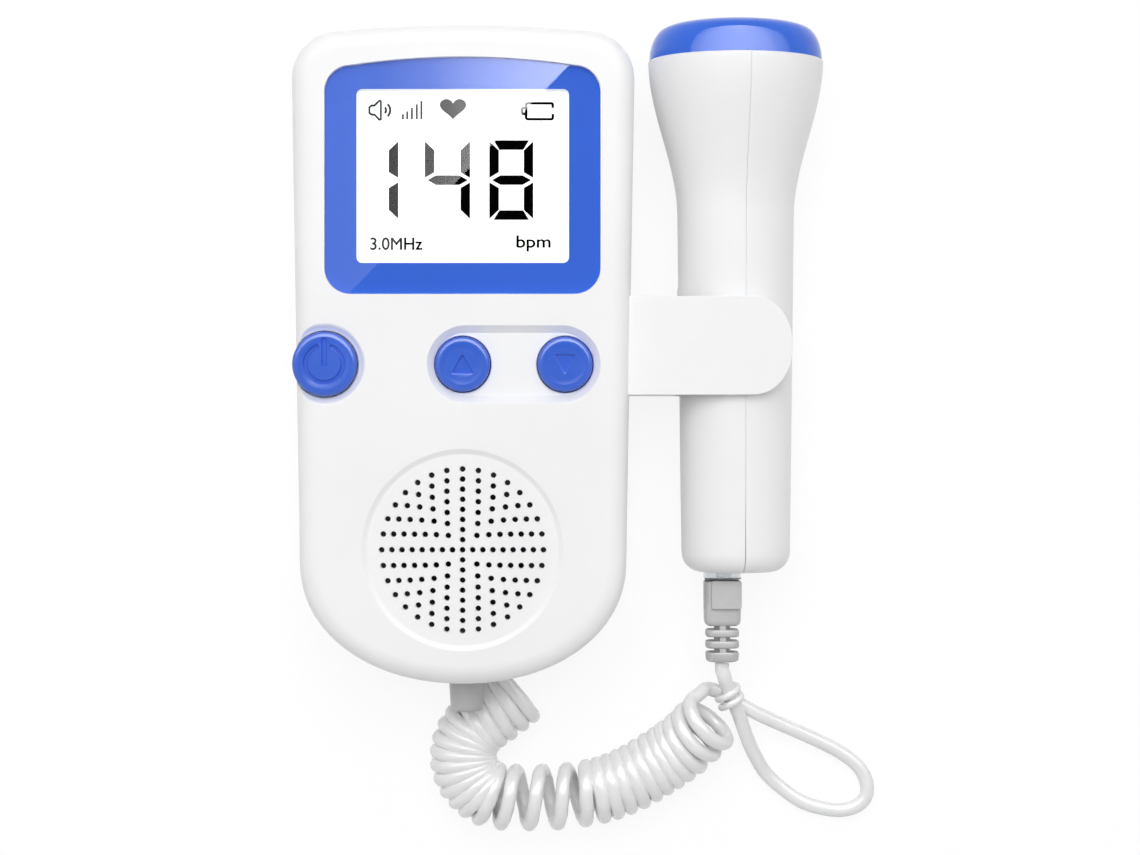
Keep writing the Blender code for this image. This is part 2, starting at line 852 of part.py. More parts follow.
def build_power_key():
    """Cap that overhangs the side wall, on a stem through the cup's floor."""
    top = unit_depth + power_rise
    cap_low = power_floor + key_travel + gap
    neck_low = power_floor - power_cup_wall - gap - key_flange_thickness
    edge = key_edge_radius
    profile = [
        (0, stem_low),
        (key_stem_radius, stem_low),
        (key_stem_radius, neck_low),
        (power_stem_radius + power_flange, neck_low),
        (power_stem_radius + power_flange, neck_low + key_flange_thickness),
        (power_stem_radius, neck_low + key_flange_thickness),
        (power_stem_radius, cap_low),
        (power_radius, cap_low),
        (power_radius, top - edge),
        (power_radius - edge / 3, top - edge / 3),
        (power_radius - edge, top),
        (0, top),
    ]
    place = (power_x, key_row_y, 0)
    key = turned("power_key", profile, blue_plastic, place, sides=32)
    open_half = icon_gap_angle / 2
    start = math.pi / 2 + open_half
    end = math.pi / 2 + 2 * math.pi - open_half
    outer = arc((0, 0), icon_ring_outer, start, end, 20)
    inner = arc((0, 0), icon_ring_inner, end, start, 20)
    cut(key, prism("power_icon_ring", outer + inner, top - icon_depth, top + overrun, None, place))
    bar_low = -icon_bar_width / 2
    half_bar = icon_bar_width / 2
    bar_outline = arc((0, bar_low + half_bar), half_bar, math.pi, 2 * math.pi, 4)
    bar_outline += [(half_bar, bar_low + icon_bar_length), (-half_bar, bar_low + icon_bar_length)]
    cut(key, prism("power_icon_bar", bar_outline, top - icon_depth, top + overrun, None, place))


def build_speaker():
    front = speaker_front
    back = front - speaker_depth
    inner = speaker_radius - speaker_rim_width
    frame_profile = [
        (speaker_radius, front),
        (speaker_radius, front - speaker_rim_height),
        (speaker_floor_radius + speaker_skin, back),
        (speaker_skin, back),
        (speaker_skin, back + speaker_skin),
        (speaker_floor_radius, back + speaker_skin),
        (inner, front - speaker_rim_height),
        (inner, front),
    ]
    place = (0, speaker_y, 0)
    turned("speaker_frame", frame_profile, black_plastic, place, closed=True)
    cone_top = front - speaker_rim_height / 2
    cone_low = back + speaker_skin + gap
    cone_radius = inner - gap
    cone_profile = [
        (0, cone_low + speaker_skin),
        (cone_dome_radius, cone_low),
        (cone_radius - speaker_skin, front - speaker_rim_height + gap),
        (cone_radius, cone_top),
        (cone_radius - speaker_skin, cone_top + film_gap),
        (cone_dome_radius, cone_low + speaker_skin),
        (0, cone_low + 2 * speaker_skin),
    ]
    turned("speaker_cone", cone_profile, grey_plastic, place)
    magnet_top = back - gap
    magnet_profile = [
        (0, magnet_top - magnet_height),
        (magnet_radius, magnet_top - magnet_height),
        (magnet_radius, magnet_top),
        (0, magnet_top),
    ]
    turned("speaker_magnet", magnet_profile, steel, place)


def helix_points(turns, radius_start, radius_end, length, points_per_turn):
    points = []
    count = turns * points_per_turn
    for index in range(count + 1):
        share = index / count
        angle = 2 * math.pi * turns * share
        radius = radius_start + (radius_end - radius_start) * share
        points.append(Vector((radius * math.cos(angle), radius * math.sin(angle), length * share)))
    return points


def build_batteries():
    half_inner = 2 * cell_radius + 1.5 * gap
    half_outer = door_half_width + door_tongue + gap + tray_foot_width
    bay_top = cells_top_y + contact_thickness + gap
    bay_low = cells_top_y - cell_length - cell_nub_height - spring_length - contact_thickness - 2 * gap
    low = (-half_outer, bay_low - tray_wall, tray_low_level)
    tray = box("battery_tray", low, (half_outer, bay_top + tray_wall, tray_high_level), white_plastic)
    bay_high = (half_inner, bay_top, tray_high_level - tray_roof)
    cut(tray, box("battery_bay", (-half_inner, bay_low, back_wall), bay_high, None))
    door_room = half_outer - tray_foot_width
    room_low = (-door_room, bay_low - tray_wall - overrun, back_wall)
    room_high = (door_room, bay_top + tray_wall + overrun, cell_level - cell_radius - gap)
    cut(tray, box("door_room", room_low, room_high, None))
    for name, side in (("left", -1), ("right", 1)):
        x = side * (cell_radius + gap / 2)
        # The cells lie head to tail, as two in series do.
        nub_at_top = side > 0
        nub_y = cells_top_y if nub_at_top else bay_low + contact_thickness + gap
        direction = -1 if nub_at_top else 1
        profile = [
            (0, 0),
            (cell_nub_radius, 0),
            (cell_nub_radius, cell_nub_height),
            (cell_radius, cell_nub_height),
            (cell_radius, cell_nub_height + cell_length),
            (0, cell_nub_height + cell_length),
        ]
        place = (x, nub_y, cell_level)
        cell = turned(f"battery_{name}", profile, battery_label, place, sides=20)
        cell.rotation_euler = (-direction * math.pi / 2, 0, 0)
        flat_y = cells_top_y if nub_at_top else bay_low
        plate(f"contact_{name}_positive", x, flat_y + (gap if nub_at_top else 0))
        spring_y = bay_low if nub_at_top else bay_top - contact_thickness
        plate(f"contact_{name}_negative", x, spring_y)
        root_y = spring_y + (contact_thickness if nub_at_top else 0)
        start = root_y + (1 if nub_at_top else -1) * (spring_wire_radius + gap)
        length = spring_length - 2 * spring_wire_radius - 2 * gap
        coil = helix_points(spring_turns, spring_radius + spring_wire_radius, spring_radius / 2, length, 8)
        points = [Vector((x + p.x, start + (1 if nub_at_top else -1) * p.z, cell_level + p.y)) for p in coil]
        tube(f"spring_{name}", points, spring_wire_radius, 0, steel)


def plate(name, x, low_y):
    half = contact_width / 2
    low = (x - half, low_y, cell_level - half)
    box(name, low, (x + half, low_y + contact_thickness, cell_level + half), steel)


def socket_passage(name):
    """Hole through the left wall for the headphone socket's collar."""
    hole = turned(
        name,
        [(0, -overrun), (socket_collar_radius + gap, -overrun),
         (socket_collar_radius + gap, 3 * side_wall), (0, 3 * side_wall)],
        None,
        (-unit_top_width / 2, socket_y, socket_level),
        sides=16,
    )
    hole.rotation_euler = (0, math.pi / 2, 0)
    return hole


def build_headphone_socket():
    side = -unit_low_width / 2
    body_x = side + side_wall + 2 * gap
    half_width = socket_width / 2
    half_height = socket_height / 2
    low = (body_x, socket_y - half_width, socket_level - half_height)
    high = (body_x + socket_depth, socket_y + half_width, socket_level + half_height)
    socket = box("headphone_socket", low, high, black_plastic)
    collar = turned(
        "socket_collar",
        [(0, 0), (socket_collar_radius, 0), (socket_collar_radius, side_wall + overrun), (0, side_wall + overrun)],
        None,
        (side, socket_y, socket_level),
        sides=16,
    )
    collar.rotation_euler = (0, math.pi / 2, 0)
    fuse(socket, collar)
    bore = turned(
        "socket_bore",
        [(0, -overrun), (socket_bore_radius, -overrun), (socket_bore_radius, socket_depth), (0, socket_depth)],
        None,
        (side, socket_y, socket_level),
        sides=12,
    )
    bore.rotation_euler = (0, math.pi / 2, 0)
    cut(socket, bore)


def build_relief():
    """Strain relief held by a flange behind the lower wall."""
    flange_start = side_wall + 2 * gap
    profile = [
        (0, -relief_length),
        (relief_nose_radius, -relief_length),
        (relief_tip_radius, relief_nose_length - relief_length),
        (relief_radius, 0),
        (relief_radius, flange_start),
        (relief_flange_radius, flange_start),
        (relief_flange_radius, flange_start + relief_flange_thickness),
        (0, flange_start + relief_flange_thickness),
    ]
    place = (relief_x, unit_low, relief_level)
    turned("cord_relief", profile, grey_plastic, place, sides=24, along_y=True)


def holder_bounds():
    inner_x = probe_x - probe_neck_radius - gap
    low_y = holder_y - holder_width / 2
    high_y = holder_y + holder_width / 2
    return inner_x, low_y, high_y


def holder_slot(name):
    half_width = holder_tongue_width / 2 + gap
    half_height = holder_tongue_height / 2 + gap
    low = (unit_side_x - 2 * side_wall, holder_y - half_width, probe_axis_level - half_height)
    high = (unit_side_x + side_wall, holder_y + half_width, probe_axis_level + half_height)
    return box(name, low, high, None)


def build_holder():
    """U-shaped clip: a front arm, a web beside the case and a rear arm, with a tongue into the case."""
    inner_x, low_y, high_y = holder_bounds()
    arm_end = unit_side_x + holder_reach
    start_x = unit_top_width / 2 + gap
    radius = holder_corner_radius
    corner_low = arc((arm_end - radius, low_y + radius), radius, -math.pi / 2, 0, 6)
    corner_high = arc((arm_end - radius, high_y - radius), radius, 0, math.pi / 2, 6)
    arm_outline = [(start_x, low_y)] + corner_low + corner_high + [(start_x, high_y)]
    holder = prism("probe_holder", arm_outline, holder_top - holder_arm, holder_top, white_plastic)
    web_high = (inner_x, high_y + web_rise, holder_top - holder_arm / 3)
    web = box("holder_web", (start_x, low_y, holder_floor), web_high, None)
    rear_top = holder_floor + holder_arm
    rear = prism("holder_rear", arm_outline, holder_floor, rear_top, None)
    cradle_low = (inner_x - overrun, holder_y, holder_floor + gap)
    cradle_high = (inner_x + probe_neck_radius, high_y + cradle_rise, rear_top - film_gap)
    cradle = box("holder_cradle", cradle_low, cradle_high, None)
    tongue_half = holder_tongue_width / 2
    tongue_z = holder_tongue_height / 2
    tongue_low = (unit_side_x - side_wall - holder_lip, holder_y - tongue_half, probe_axis_level - tongue_z)
    tongue_high = (start_x + side_wall, holder_y + tongue_half, probe_axis_level + tongue_z)
    tongue = box("holder_tongue", tongue_low, tongue_high, None)
    fuse(holder, web, rear, cradle, tongue)


def probe_radius(height):
    """Outer radius of the probe's handle and head at a height above its lower end."""
    taper_share = min(height / probe_flare_start, 1.0)
    radius = probe_end_radius + (probe_neck_radius - probe_end_radius) * taper_share
    if height > probe_flare_start:
        share = min((height - probe_flare_start) / (probe_flare_end - probe_flare_start), 1.0)
        smooth = share * share * (3 - 2 * share)
        radius = probe_neck_radius + (probe_head_radius - probe_neck_radius) * smooth
    return radius


def probe_outer_profile(inset=0.0):
    round_radius = probe_end_round
    points = []
    for index in range(5):
        angle = math.pi / 2 * index / 4
        radius = probe_end_radius - round_radius + round_radius * math.sin(angle) - inset
        height = round_radius * (1 - math.cos(angle)) + (inset if index == 0 else 0)
        points.append((radius, height))
    steps = 9
    points.append((probe_radius(probe_flare_start / 2) - inset, probe_flare_start / 2))
    for index in range(steps + 1):
        height = probe_flare_start + (probe_flare_end - probe_flare_start) * index / steps
        points.append((probe_radius(height) - inset, height))
    return points


def build_probe():
    outer = probe_outer_profile()
    inner = [
        (probe_radius(probe_flare_end) - probe_wall, probe_flare_end),
        (probe_radius(probe_flare_end) - probe_wall, probe_flare_end - 2 * probe_wall),
    ]
    steps = 5
    for index in range(1, steps + 1):
        height = probe_flare_end - 2 * probe_wall - (probe_flare_end - probe_flare_start) * index / steps
        inner.append((probe_radius(height) - probe_wall, height))
    inner.append((probe_end_radius - probe_wall, probe_end_round))
    inner.append((probe_end_radius - probe_wall, probe_wall))
    place = (0, 0, 0)
    half_gap = gap / 2
    reach = probe_head_radius + overrun
    for name, side in (("left", -1), ("right", 1)):
        profile = outer + inner + [(0, probe_wall), (0, 0)]
        shell_profile = [(0, 0)] + outer + inner + [(0, probe_wall)]
        shell = turned(f"probe_shell_{name}", shell_profile, white_plastic, place, probe_frame, sides=28, along_y=True)
        far_x = -side * reach
        near_x = side * half_gap
        low = (min(far_x, near_x), -overrun, -reach)
        high = (max(far_x, near_x), probe_length, reach)
        other_half = box(f"probe_split_{name}", low, high, None, place, probe_frame)
        other_half.rotation_euler = (0, probe_split_angle, 0)
        cut(shell, other_half, jack_mouth(f"jack_mouth_{name}"))
    build_cap()
    build_probe_insides()


def jack_mouth(name):
    """Opening in the probe's lower end for the plug and its latch."""
    half = plug_width / 2 + 2 * gap
    low_z = jack_offset_z - plug_height / 2 - 2 * gap
    high_z = jack_offset_z + plug_height / 2 + latch_lift + latch_thickness + 3 * gap
    low = (jack_offset_x - half, -overrun, low_z)
    high = (jack_offset_x + half, 2 * probe_wall, high_z)
    return box(name, low, high, None, (0, 0, 0), probe_frame)


def build_cap():
    """Blue face over the transducer, with its closed rim against the shells."""
    base = probe_flare_end + gap
    top = probe_length
    edge = cap_edge_radius
    outer_radius = probe_head_radius
    shoulder = outer_radius - cap_taper
    points = [(outer_radius, base), (outer_radius - cap_taper / 4, (base + top) / 2 - edge / 2)]
    for index in range(5):
        angle = math.pi / 2 * index / 4 * 0.85
        radius = shoulder - edge + edge * math.cos(angle)
        height = top - cap_crown_rise - edge + edge * math.sin(angle)
        points.append((radius, height))
    points.append((shoulder * 0.45, top - cap_crown_rise / 4))
    points.append((0, top))
    hollow = outer_radius - cap_wall - cap_taper
    inner = [(0, top - cap_crown_rise - cap_wall), (hollow, top - cap_crown_rise - cap_wall), (hollow, base)]
    turned("transducer_cap", inner[:1] + inner[1:] + points, blue_plastic, (0, 0, 0), probe_frame,
           sides=32, along_y=True)


def build_probe_insides():
    cap_inner = probe_length - cap_crown_rise - cap_wall
    crystal_top = cap_inner - gap
    crystal_low = crystal_top - crystal_thickness
    profile = [(0, crystal_low), (crystal_radius, crystal_low), (crystal_radius, crystal_top), (0, crystal_top)]
    turned("crystal_disc", profile, steel, (0, 0, 0), probe_frame, sides=24, along_y=True)
    backing_top = crystal_low - gap
    backing_low = backing_top - backing_thickness
    seat = probe_head_radius - probe_wall - gap - cap_taper
    profile = [(0, backing_low), (seat, backing_low), (seat, backing_top), (0, backing_top)]
    turned("backing_block", profile, black_plastic, (0, 0, 0), probe_frame, sides=24, along_y=True)
    half_width = probe_board_width / 2
    half_thick = probe_board_thickness / 2
    board_start = probe_wall + jack_length + 2 * gap
    low = (-half_width, board_start, -half_thick)
    high = (half_width, board_start + probe_board_length, half_thick)
    box("probe_board", low, high, board_green, (0, 0, 0), probe_frame)
    build_jack()


def build_jack():
    """Modular socket, trimmed to the handle's bore, open at its lower end."""
    half = plug_width / 2 + gap
    low_z = jack_offset_z - plug_height / 2 - gap
    plug_top = jack_offset_z + plug_height / 2
    high_z = plug_top + gap
    latch_top = plug_top + latch_lift + latch_thickness + 2 * gap
    start = probe_wall + gap
    end = start + jack_length
    low = (jack_offset_x - half - jack_wall, start, low_z - jack_wall)
    high = (jack_offset_x + half + jack_wall, end, latch_top + jack_wall)
    jack = box("modular_jack", low, high, black_plastic, (0, 0, 0), probe_frame)
    bore = probe_end_radius - probe_wall - gap
    bore_profile = [(0, 0), (bore, 0), (bore, end + overrun), (0, end + overrun)]
    keep_inside(jack, turned("jack_bounds", bore_profile, None, (0, 0, 0), probe_frame, sides=28, along_y=True))
    nose = plug_length - plug_reach + 2 * gap
    room_low = (jack_offset_x - half, -overrun, low_z)
    cut(jack, box("jack_room", room_low, (jack_offset_x + half, nose, high_z), None, (0, 0, 0), probe_frame))
    slot_half = latch_width / 2 + gap
    slot_low = (jack_offset_x - slot_half, -overrun, plug_top - gap)
    slot_high = (jack_offset_x + slot_half, nose, latch_top)
    cut(jack, box("jack_latch_slot", slot_low, slot_high, None, (0, 0, 0), probe_frame))


def build_plug():
    """Clear plug body, its sprung latch and the ribbed boot behind them."""
    half = plug_width / 2
    half_z = plug_height / 2
    low_y = boot_top_y + gap
    high_y = boot_top_y + plug_length
    low = (plug_x - half, low_y, plug_level - half_z)
    box("plug_body", low, (plug_x + half, high_y, plug_level + half_z), clear_plastic)
    hinge_y = high_y - latch_thickness
    hinge_z = plug_level + half_z + gap + latch_thickness / 2
    latch_half = latch_width / 2
    tail_y = low_y + gap - hinge_y
    thick = latch_thickness / 2
    outline = [
        (latch_thickness / 2, -thick),
        (latch_thickness / 2, thick),
        (tail_y, latch_lift + thick),
        (tail_y, latch_lift - thick),
    ]
    rings = [[(x, y, z) for y, z in outline] for x in (-latch_half, latch_half)]
    loft("plug_latch", rings, clear_plastic, (plug_x, hinge_y, hinge_z))
    build_boot()


def along_lead(name, outline, start_y, end_y, material=None, shrink=0.0):
    """Prism along -Y with an outline in X and Z about the plug's axis."""
    rings = []
    for y, less in ((start_y, 0.0), (end_y, shrink)):
        ring = []
        for x, z in outline:
            ring.append((plug_x + x * (1 - less), y, plug_level + z * (1 - less)))
        rings.append(ring)
    return loft(name, rings, material)


def build_boot():
    block = rounded_rectangle(boot_width, boot_width, boot_corner_radius, steps=2)
    block_end = boot_top_y - boot_block_length
    boot = along_lead("plug_boot", block, boot_top_y, block_end, grey_plastic, boot_taper_share)
    rib = rounded_rectangle(boot_rib_width, boot_rib_width, 1.6 * boot_corner_radius, steps=3)
    position = block_end - boot_slot
    for index in range(boot_ribs):
        last = index == boot_ribs - 1
        length = boot_last_rib_length if last else boot_rib_length
        fuse(boot, along_lead(f"boot_rib_{index}", rib, position, position - length, shrink=boot_last_taper_share if last else 0.0))
        position -= length + (0 if last else boot_slot)
    core = [point[:2] for point in circle(boot_core_radius, 12)]
    core_end = position + boot_last_rib_length / 2
    fuse(boot, along_lead("boot_core", core, block_end + overrun, core_end))
    half_web = boot_web_width / 2
    web_half_z = boot_rib_width / 2 - boot_corner_radius / 3
    web = [(-half_web, -web_half_z), (half_web, -web_half_z), (half_web, web_half_z), (-half_web, web_half_z)]
    fuse(boot, along_lead("boot_web", web, block_end + overrun, core_end))
    panel_low = boot_panel_shift - boot_panel_width / 2
    panel_high = boot_panel_shift + boot_panel_width / 2
    base = boot_width / 2 - overrun
    top = boot_width / 2 + boot_panel_height
    panel = [(panel_low, base), (panel_high, base), (panel_high, top), (panel_low, top)]
    fuse(boot, along_lead("boot_panel", panel, boot_top_y, boot_top_y - boot_panel_length))
    return position


def boot_end_y():
    ribs = (boot_ribs - 1) * boot_rib_length + boot_last_rib_length + boot_ribs * boot_slot
    return boot_top_y - boot_block_length - ribs


def smooth_line(points, step):
    """Even points on the smooth curve through the given ones."""
    vectors = [Vector(point) for point in points]
    padded = [2 * vectors[0] - vectors[1]] + vectors + [2 * vectors[-1] - vectors[-2]]
    dense = []
    for index in range(1, len(padded) - 2):
        before, start, end, after = padded[index - 1:index + 3]
        for part in range(16):
            t = part / 16
            dense.append(0.5 * (
                2 * start
                + (end - before) * t
                + (2 * before - 5 * start + 4 * end - after) * t * t
                + (3 * start - before - 3 * end + after) * t ** 3
            ))
    dense.append(vectors[-1])
    travelled = [0.0]
    for first, second in zip(dense, dense[1:]):
        travelled.append(travelled[-1] + (second - first).length)
    count = max(2, round(travelled[-1] / step))
    result = []
    place = 0
    for index in range(count + 1):
        target = travelled[-1] * index / count
        while place < len(dense) - 2 and travelled[place + 1] < target:
            place += 1
        span = travelled[place + 1] - travelled[place]
        share = (target - travelled[place]) / span if span else 0.0
        result.append(dense[place].lerp(dense[place + 1], min(share, 1.0)))
    return result, travelled[-1]


def tube(name, points, radius, resolution, material):
    curve = bpy.data.curves.new(name, "CURVE")
    curve.dimensions = "3D"
    curve.bevel_depth = radius
    curve.bevel_resolution = resolution
    curve.use_fill_caps = True
    spline = curve.splines.new("POLY")
    spline.points.add(len(points) - 1)
    for target, point in zip(spline.points, points):
        target.co = (*point, 1.0)
    return add_object(name, curve, material)


def curl_path():
    """Points of the curled cord: lead-in, curls along their middle line, straight end."""
    axis, length = smooth_line(curl_axis, curl_radius / 40)
    step = length / (len(axis) - 1)
    reach = round(curl_bend_span / step)
    last = len(axis) - 1
    turned_by = [0.0]
    for index in range(1, len(axis)):
        span = max(1, min(reach, index, last - index))
        before = axis[index] - axis[index - span]
        after = axis[min(index + span, last)] - axis[index]
        bend = before.angle(after, 0.0) / (span * step) if after.length else 0.0
        share = open_curl_share(axis[index].x)
        pitch = curl_closed_step + (curl_open_step - curl_closed_step) * share
        inner_share = max(1 - bend * curl_radius * (1 + bend_margin_share), least_inner_share)
        pitch = max(pitch, curl_closed_step / inner_share)
        turned_by.append(turned_by[-1] + 2 * math.pi * step / pitch)
    # The curls start at the side, at half a turn, and end at the top, after whole turns and a quarter.
    whole_turns = math.floor((turned_by[-1] - math.pi / 2) / (2 * math.pi))
    total = math.pi / 2 + 2 * math.pi * whole_turns
    count = round(total / (2 * math.pi) * curl_points)
    up = Vector((0, 0, 1))
    points = []
    place = 0
    for index in range(count + 1):
        share = index / count
        while place < last - 1 and turned_by[place + 1] < share * turned_by[-1]:
            place += 1
        angle = math.pi - share * total
        tangent = (axis[place + 1] - axis[max(place - 1, 0)]).normalized()
        side = up.cross(tangent).normalized()
        rise = tangent.cross(side)
        points.append(axis[place] + curl_radius * (side * math.cos(angle) + rise * math.sin(angle)))
    run_end = points[-1] + curl_end_run * side
    return [Vector(point) for point in curl_lead_in] + points + [points[-1].lerp(run_end, 0.5), run_end]


def open_curl_share(x):
    """One where the curls stand open, easing to nothing at both ends of that stretch."""
    middle = (curl_open_from + curl_open_to) / 2
    half = (curl_open_to - curl_open_from) / 2
    distance = min(abs(x - middle) / half, 1.0)
    return 1 - distance ** 4


def least_gap(points, radius):
    """Least gap between stretches of the tube that aren't neighbours along it."""
    least = None
    spacing = 4 * radius
    travelled = [0.0]
    for first, second in zip(points, points[1:]):
        travelled.append(travelled[-1] + (second - first).length)
    for index, first in enumerate(points):
        for other in range(index + 1, len(points) - 1):
            if travelled[other] - travelled[index] < spacing:
                continue
            start = points[other]
            along = points[other + 1] - start
            share = max(0.0, min(1.0, (first - start).dot(along) / along.length_squared))
            distance = (first - start - share * along).length - 2 * radius
            if least is None or distance < least:
                least = distance
    return least


def build_cord():
    boot_end = Vector((plug_x, boot_end_y() - gap, plug_level))
    first_run = boot_end - Vector((0, cord_radius, 0))
    lead, lead_length = smooth_line([first_run] + lead_route, lead_point_step)
    tube("cord_lead", [boot_end] + lead, cord_radius, 2, cord_white)
    curls = curl_path()
    tube("cord_curls", curls, cord_radius, 1, cord_white)
    curl_length = sum((b - a).length for a, b in zip(curls, curls[1:]))
    curl_gap = least_gap(curls, cord_radius)
    print(f"curls: {len(curls)} points, {curl_length * 1000:.0f} mm, least gap {curl_gap * 1000:.2f} mm")
    print(f"lead: {len(lead)} points, {(lead_length + cord_radius) * 1000:.0f} mm")
    run = (curls[-1] - curls[-2]).normalized()
    start = curls[-1] + run * gap
    inlet = Vector((math.cos(relief_inlet_angle), 0, -math.sin(relief_inlet_angle)))
    relief_axis = Vector((relief_x, unit_low + relief_inlet_depth, relief_level))
    end = relief_axis + inlet * (relief_radius + gap)
    middle = [start + run * cord_radius, *tail_route, end + inlet * cord_radius]
    tail, tail_length = smooth_line(middle, cord_radius)
    tube("cord_tail", [start] + tail + [end], cord_radius, 2, cord_white)
    print(f"tail: {len(tail)} points, {(tail_length + 2 * cord_radius) * 1000:.0f} mm")


def build_tie():
    """Soft tie that goes nearly twice round the lead and the curls' end where they cross."""
    along = tie_direction.normalized()
    across = Vector((-along.y, along.x, 0))
    up = Vector((0, 0, 1))
    points = []
    for index in range(tie_steps + 1):
        share = index / tie_steps
        angle = tie_start_angle + tie_sweep * share
        forward = tie_run * (share - 0.5)
        side = across * tie_half_width * math.cos(angle)
        lift = up * (tie_half_height * math.sin(angle) - tie_slope_share * forward)
        points.append(tie_centre + along * forward + side + lift)
    tube("cord_tie", points, tie_wire_radius, 1, cord_white)


clear_scene()
white_plastic = make_material("white_abs", "f0f0f2", 0.35)
blue_plastic = make_material("blue_abs", "1233c8", 0.3)
grey_plastic = make_material("grey_pvc", "bdbdbd", 0.5)
black_plastic = make_material("black_nylon", "1c1c1e", 0.5)
clear_plastic = make_material("clear_polycarbonate", "e8eef2", 0.08, alpha=0.35)
lcd_grey = make_material("lcd_glass", "d4d9d2", 0.2)
board_green = make_material("board_laminate", "1d5b33", 0.5)
battery_label = make_material("battery_label", "5f6a72", 0.4)
steel = make_material("nickel_steel", "b9bcc0", 0.3, metallic=1.0)
cord_white = make_material("cord_pvc", "e9e9ea", 0.35)

case_frame = add_empty("case_frame", (frame_shift_x, frame_shift_y, 0))
probe_frame = add_empty("probe_frame", (probe_x, probe_low_y, probe_axis_level), case_frame)

build_front_cover()
build_back_cover()
build_door()
build_screws()
build_display()
build_board()
build_keys()
build_speaker()
build_batteries()
build_headphone_socket()
build_relief()
build_holder()
build_probe()
build_plug()
build_cord()
build_tie()
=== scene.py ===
import math

import bmesh
import bpy
from mathutils import Matrix, Vector


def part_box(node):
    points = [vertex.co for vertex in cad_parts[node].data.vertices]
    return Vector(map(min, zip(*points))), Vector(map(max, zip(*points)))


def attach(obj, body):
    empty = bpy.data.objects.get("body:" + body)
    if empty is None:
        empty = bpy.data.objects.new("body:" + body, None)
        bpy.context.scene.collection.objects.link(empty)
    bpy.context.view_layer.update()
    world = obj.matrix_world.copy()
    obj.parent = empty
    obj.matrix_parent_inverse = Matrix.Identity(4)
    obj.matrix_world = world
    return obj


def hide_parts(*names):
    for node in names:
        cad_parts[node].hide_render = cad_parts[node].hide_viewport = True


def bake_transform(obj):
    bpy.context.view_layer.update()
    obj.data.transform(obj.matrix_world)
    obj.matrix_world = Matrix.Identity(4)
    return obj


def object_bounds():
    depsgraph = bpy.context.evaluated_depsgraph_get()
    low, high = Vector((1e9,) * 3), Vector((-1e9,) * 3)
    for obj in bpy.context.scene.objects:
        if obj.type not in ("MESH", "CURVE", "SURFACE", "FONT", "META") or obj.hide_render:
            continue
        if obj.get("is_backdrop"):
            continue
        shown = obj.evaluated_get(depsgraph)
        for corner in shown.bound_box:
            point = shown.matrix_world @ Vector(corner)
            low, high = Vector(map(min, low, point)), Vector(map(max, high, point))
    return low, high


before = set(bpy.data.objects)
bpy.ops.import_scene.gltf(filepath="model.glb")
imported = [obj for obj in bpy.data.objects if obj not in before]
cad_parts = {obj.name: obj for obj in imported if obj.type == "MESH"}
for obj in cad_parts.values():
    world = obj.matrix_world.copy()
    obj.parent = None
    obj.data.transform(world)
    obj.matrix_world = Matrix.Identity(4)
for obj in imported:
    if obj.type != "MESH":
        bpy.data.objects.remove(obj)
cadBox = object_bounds()
scene = bpy.context.scene
scene.view_settings.view_transform = "Standard"

# Every piece is drawn about the middle of the case, in metres, and moved into the frame when it is dressed.
caseLow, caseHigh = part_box("front_cover")
caseMid = Vector(((caseLow.x + caseHigh.x) / 2, (caseLow.y + caseHigh.y) / 2, 0.0))
past = 0.001  # how far a cutter reaches past the face that it opens
hair = 0.00001  # keeps two faces from lying in one plane


# Small helpers

def deselectAll():
    if bpy.context.object and bpy.context.object.mode != "OBJECT":
        bpy.ops.object.mode_set(mode="OBJECT")
    bpy.ops.object.select_all(action="DESELECT")


def pickOnly(*items):
    deselectAll()
    for item in items:
        item.select_set(True)
    bpy.context.view_layer.objects.active = items[0]


def applyModifier(item, kind, settings):
    modifier = item.modifiers.new(kind.lower(), kind)
    for setting, value in settings.items():
        setattr(modifier, setting, value)
    pickOnly(item)
    bpy.ops.object.modifier_apply(modifier=modifier.name)


def combine(item, other, operation):
    applyModifier(item, "BOOLEAN", {"operation": operation, "solver": "EXACT", "object": other})
    bpy.data.objects.remove(other, do_unlink=True)


def carve(item, *others):
    for other in others:
        combine(item, other, "DIFFERENCE")


def weld(item, *others):
    for other in others:
        combine(item, other, "UNION")


def softenEdges(item, width, steps, angle):
    applyModifier(item, "BEVEL", {
        "width": width, "segments": steps, "limit_method": "ANGLE",
        "angle_limit": math.radians(angle), "use_clamp_overlap": True,
    })


def raiseOutline(name, rings):
    # A disc is set to the first outline, then extruded from outline to outline.
    deselectAll()
    bpy.ops.mesh.primitive_circle_add(vertices=len(rings[0]), radius=0.01, fill_type="NGON")
    item = bpy.context.object
    item.name = item.data.name = name
    for vertex, point in zip(item.data.vertices, rings[0]):
        vertex.co = point
    bpy.ops.object.mode_set(mode="EDIT")
    bpy.ops.mesh.select_all(action="SELECT")
    for before, after in zip(rings, rings[1:]):
        old = [Vector(point) for point in before]
        bpy.ops.mesh.extrude_region_move()
        cage = bmesh.from_edit_mesh(item.data)
        for vertex in cage.verts:
            if vertex.select:
                nearest = min(range(len(old)), key=lambda place: (old[place] - vertex.co).length_squared)
                vertex.co = after[nearest]
        bmesh.update_edit_mesh(item.data)
    bpy.ops.mesh.select_all(action="SELECT")
    bpy.ops.mesh.normals_make_consistent(inside=False)
    bpy.ops.object.mode_set(mode="OBJECT")
    return item


def duplicateOf(item, name):
    copied = item.copy()
    copied.data = item.data.copy()
    copied.name = copied.data.name = name
    scene.collection.objects.link(copied)
    return copied


def joinAll(name, items):
    pickOnly(*items)
    bpy.ops.object.join()
    joined = bpy.context.object
    joined.name = joined.data.name = name
    return joined


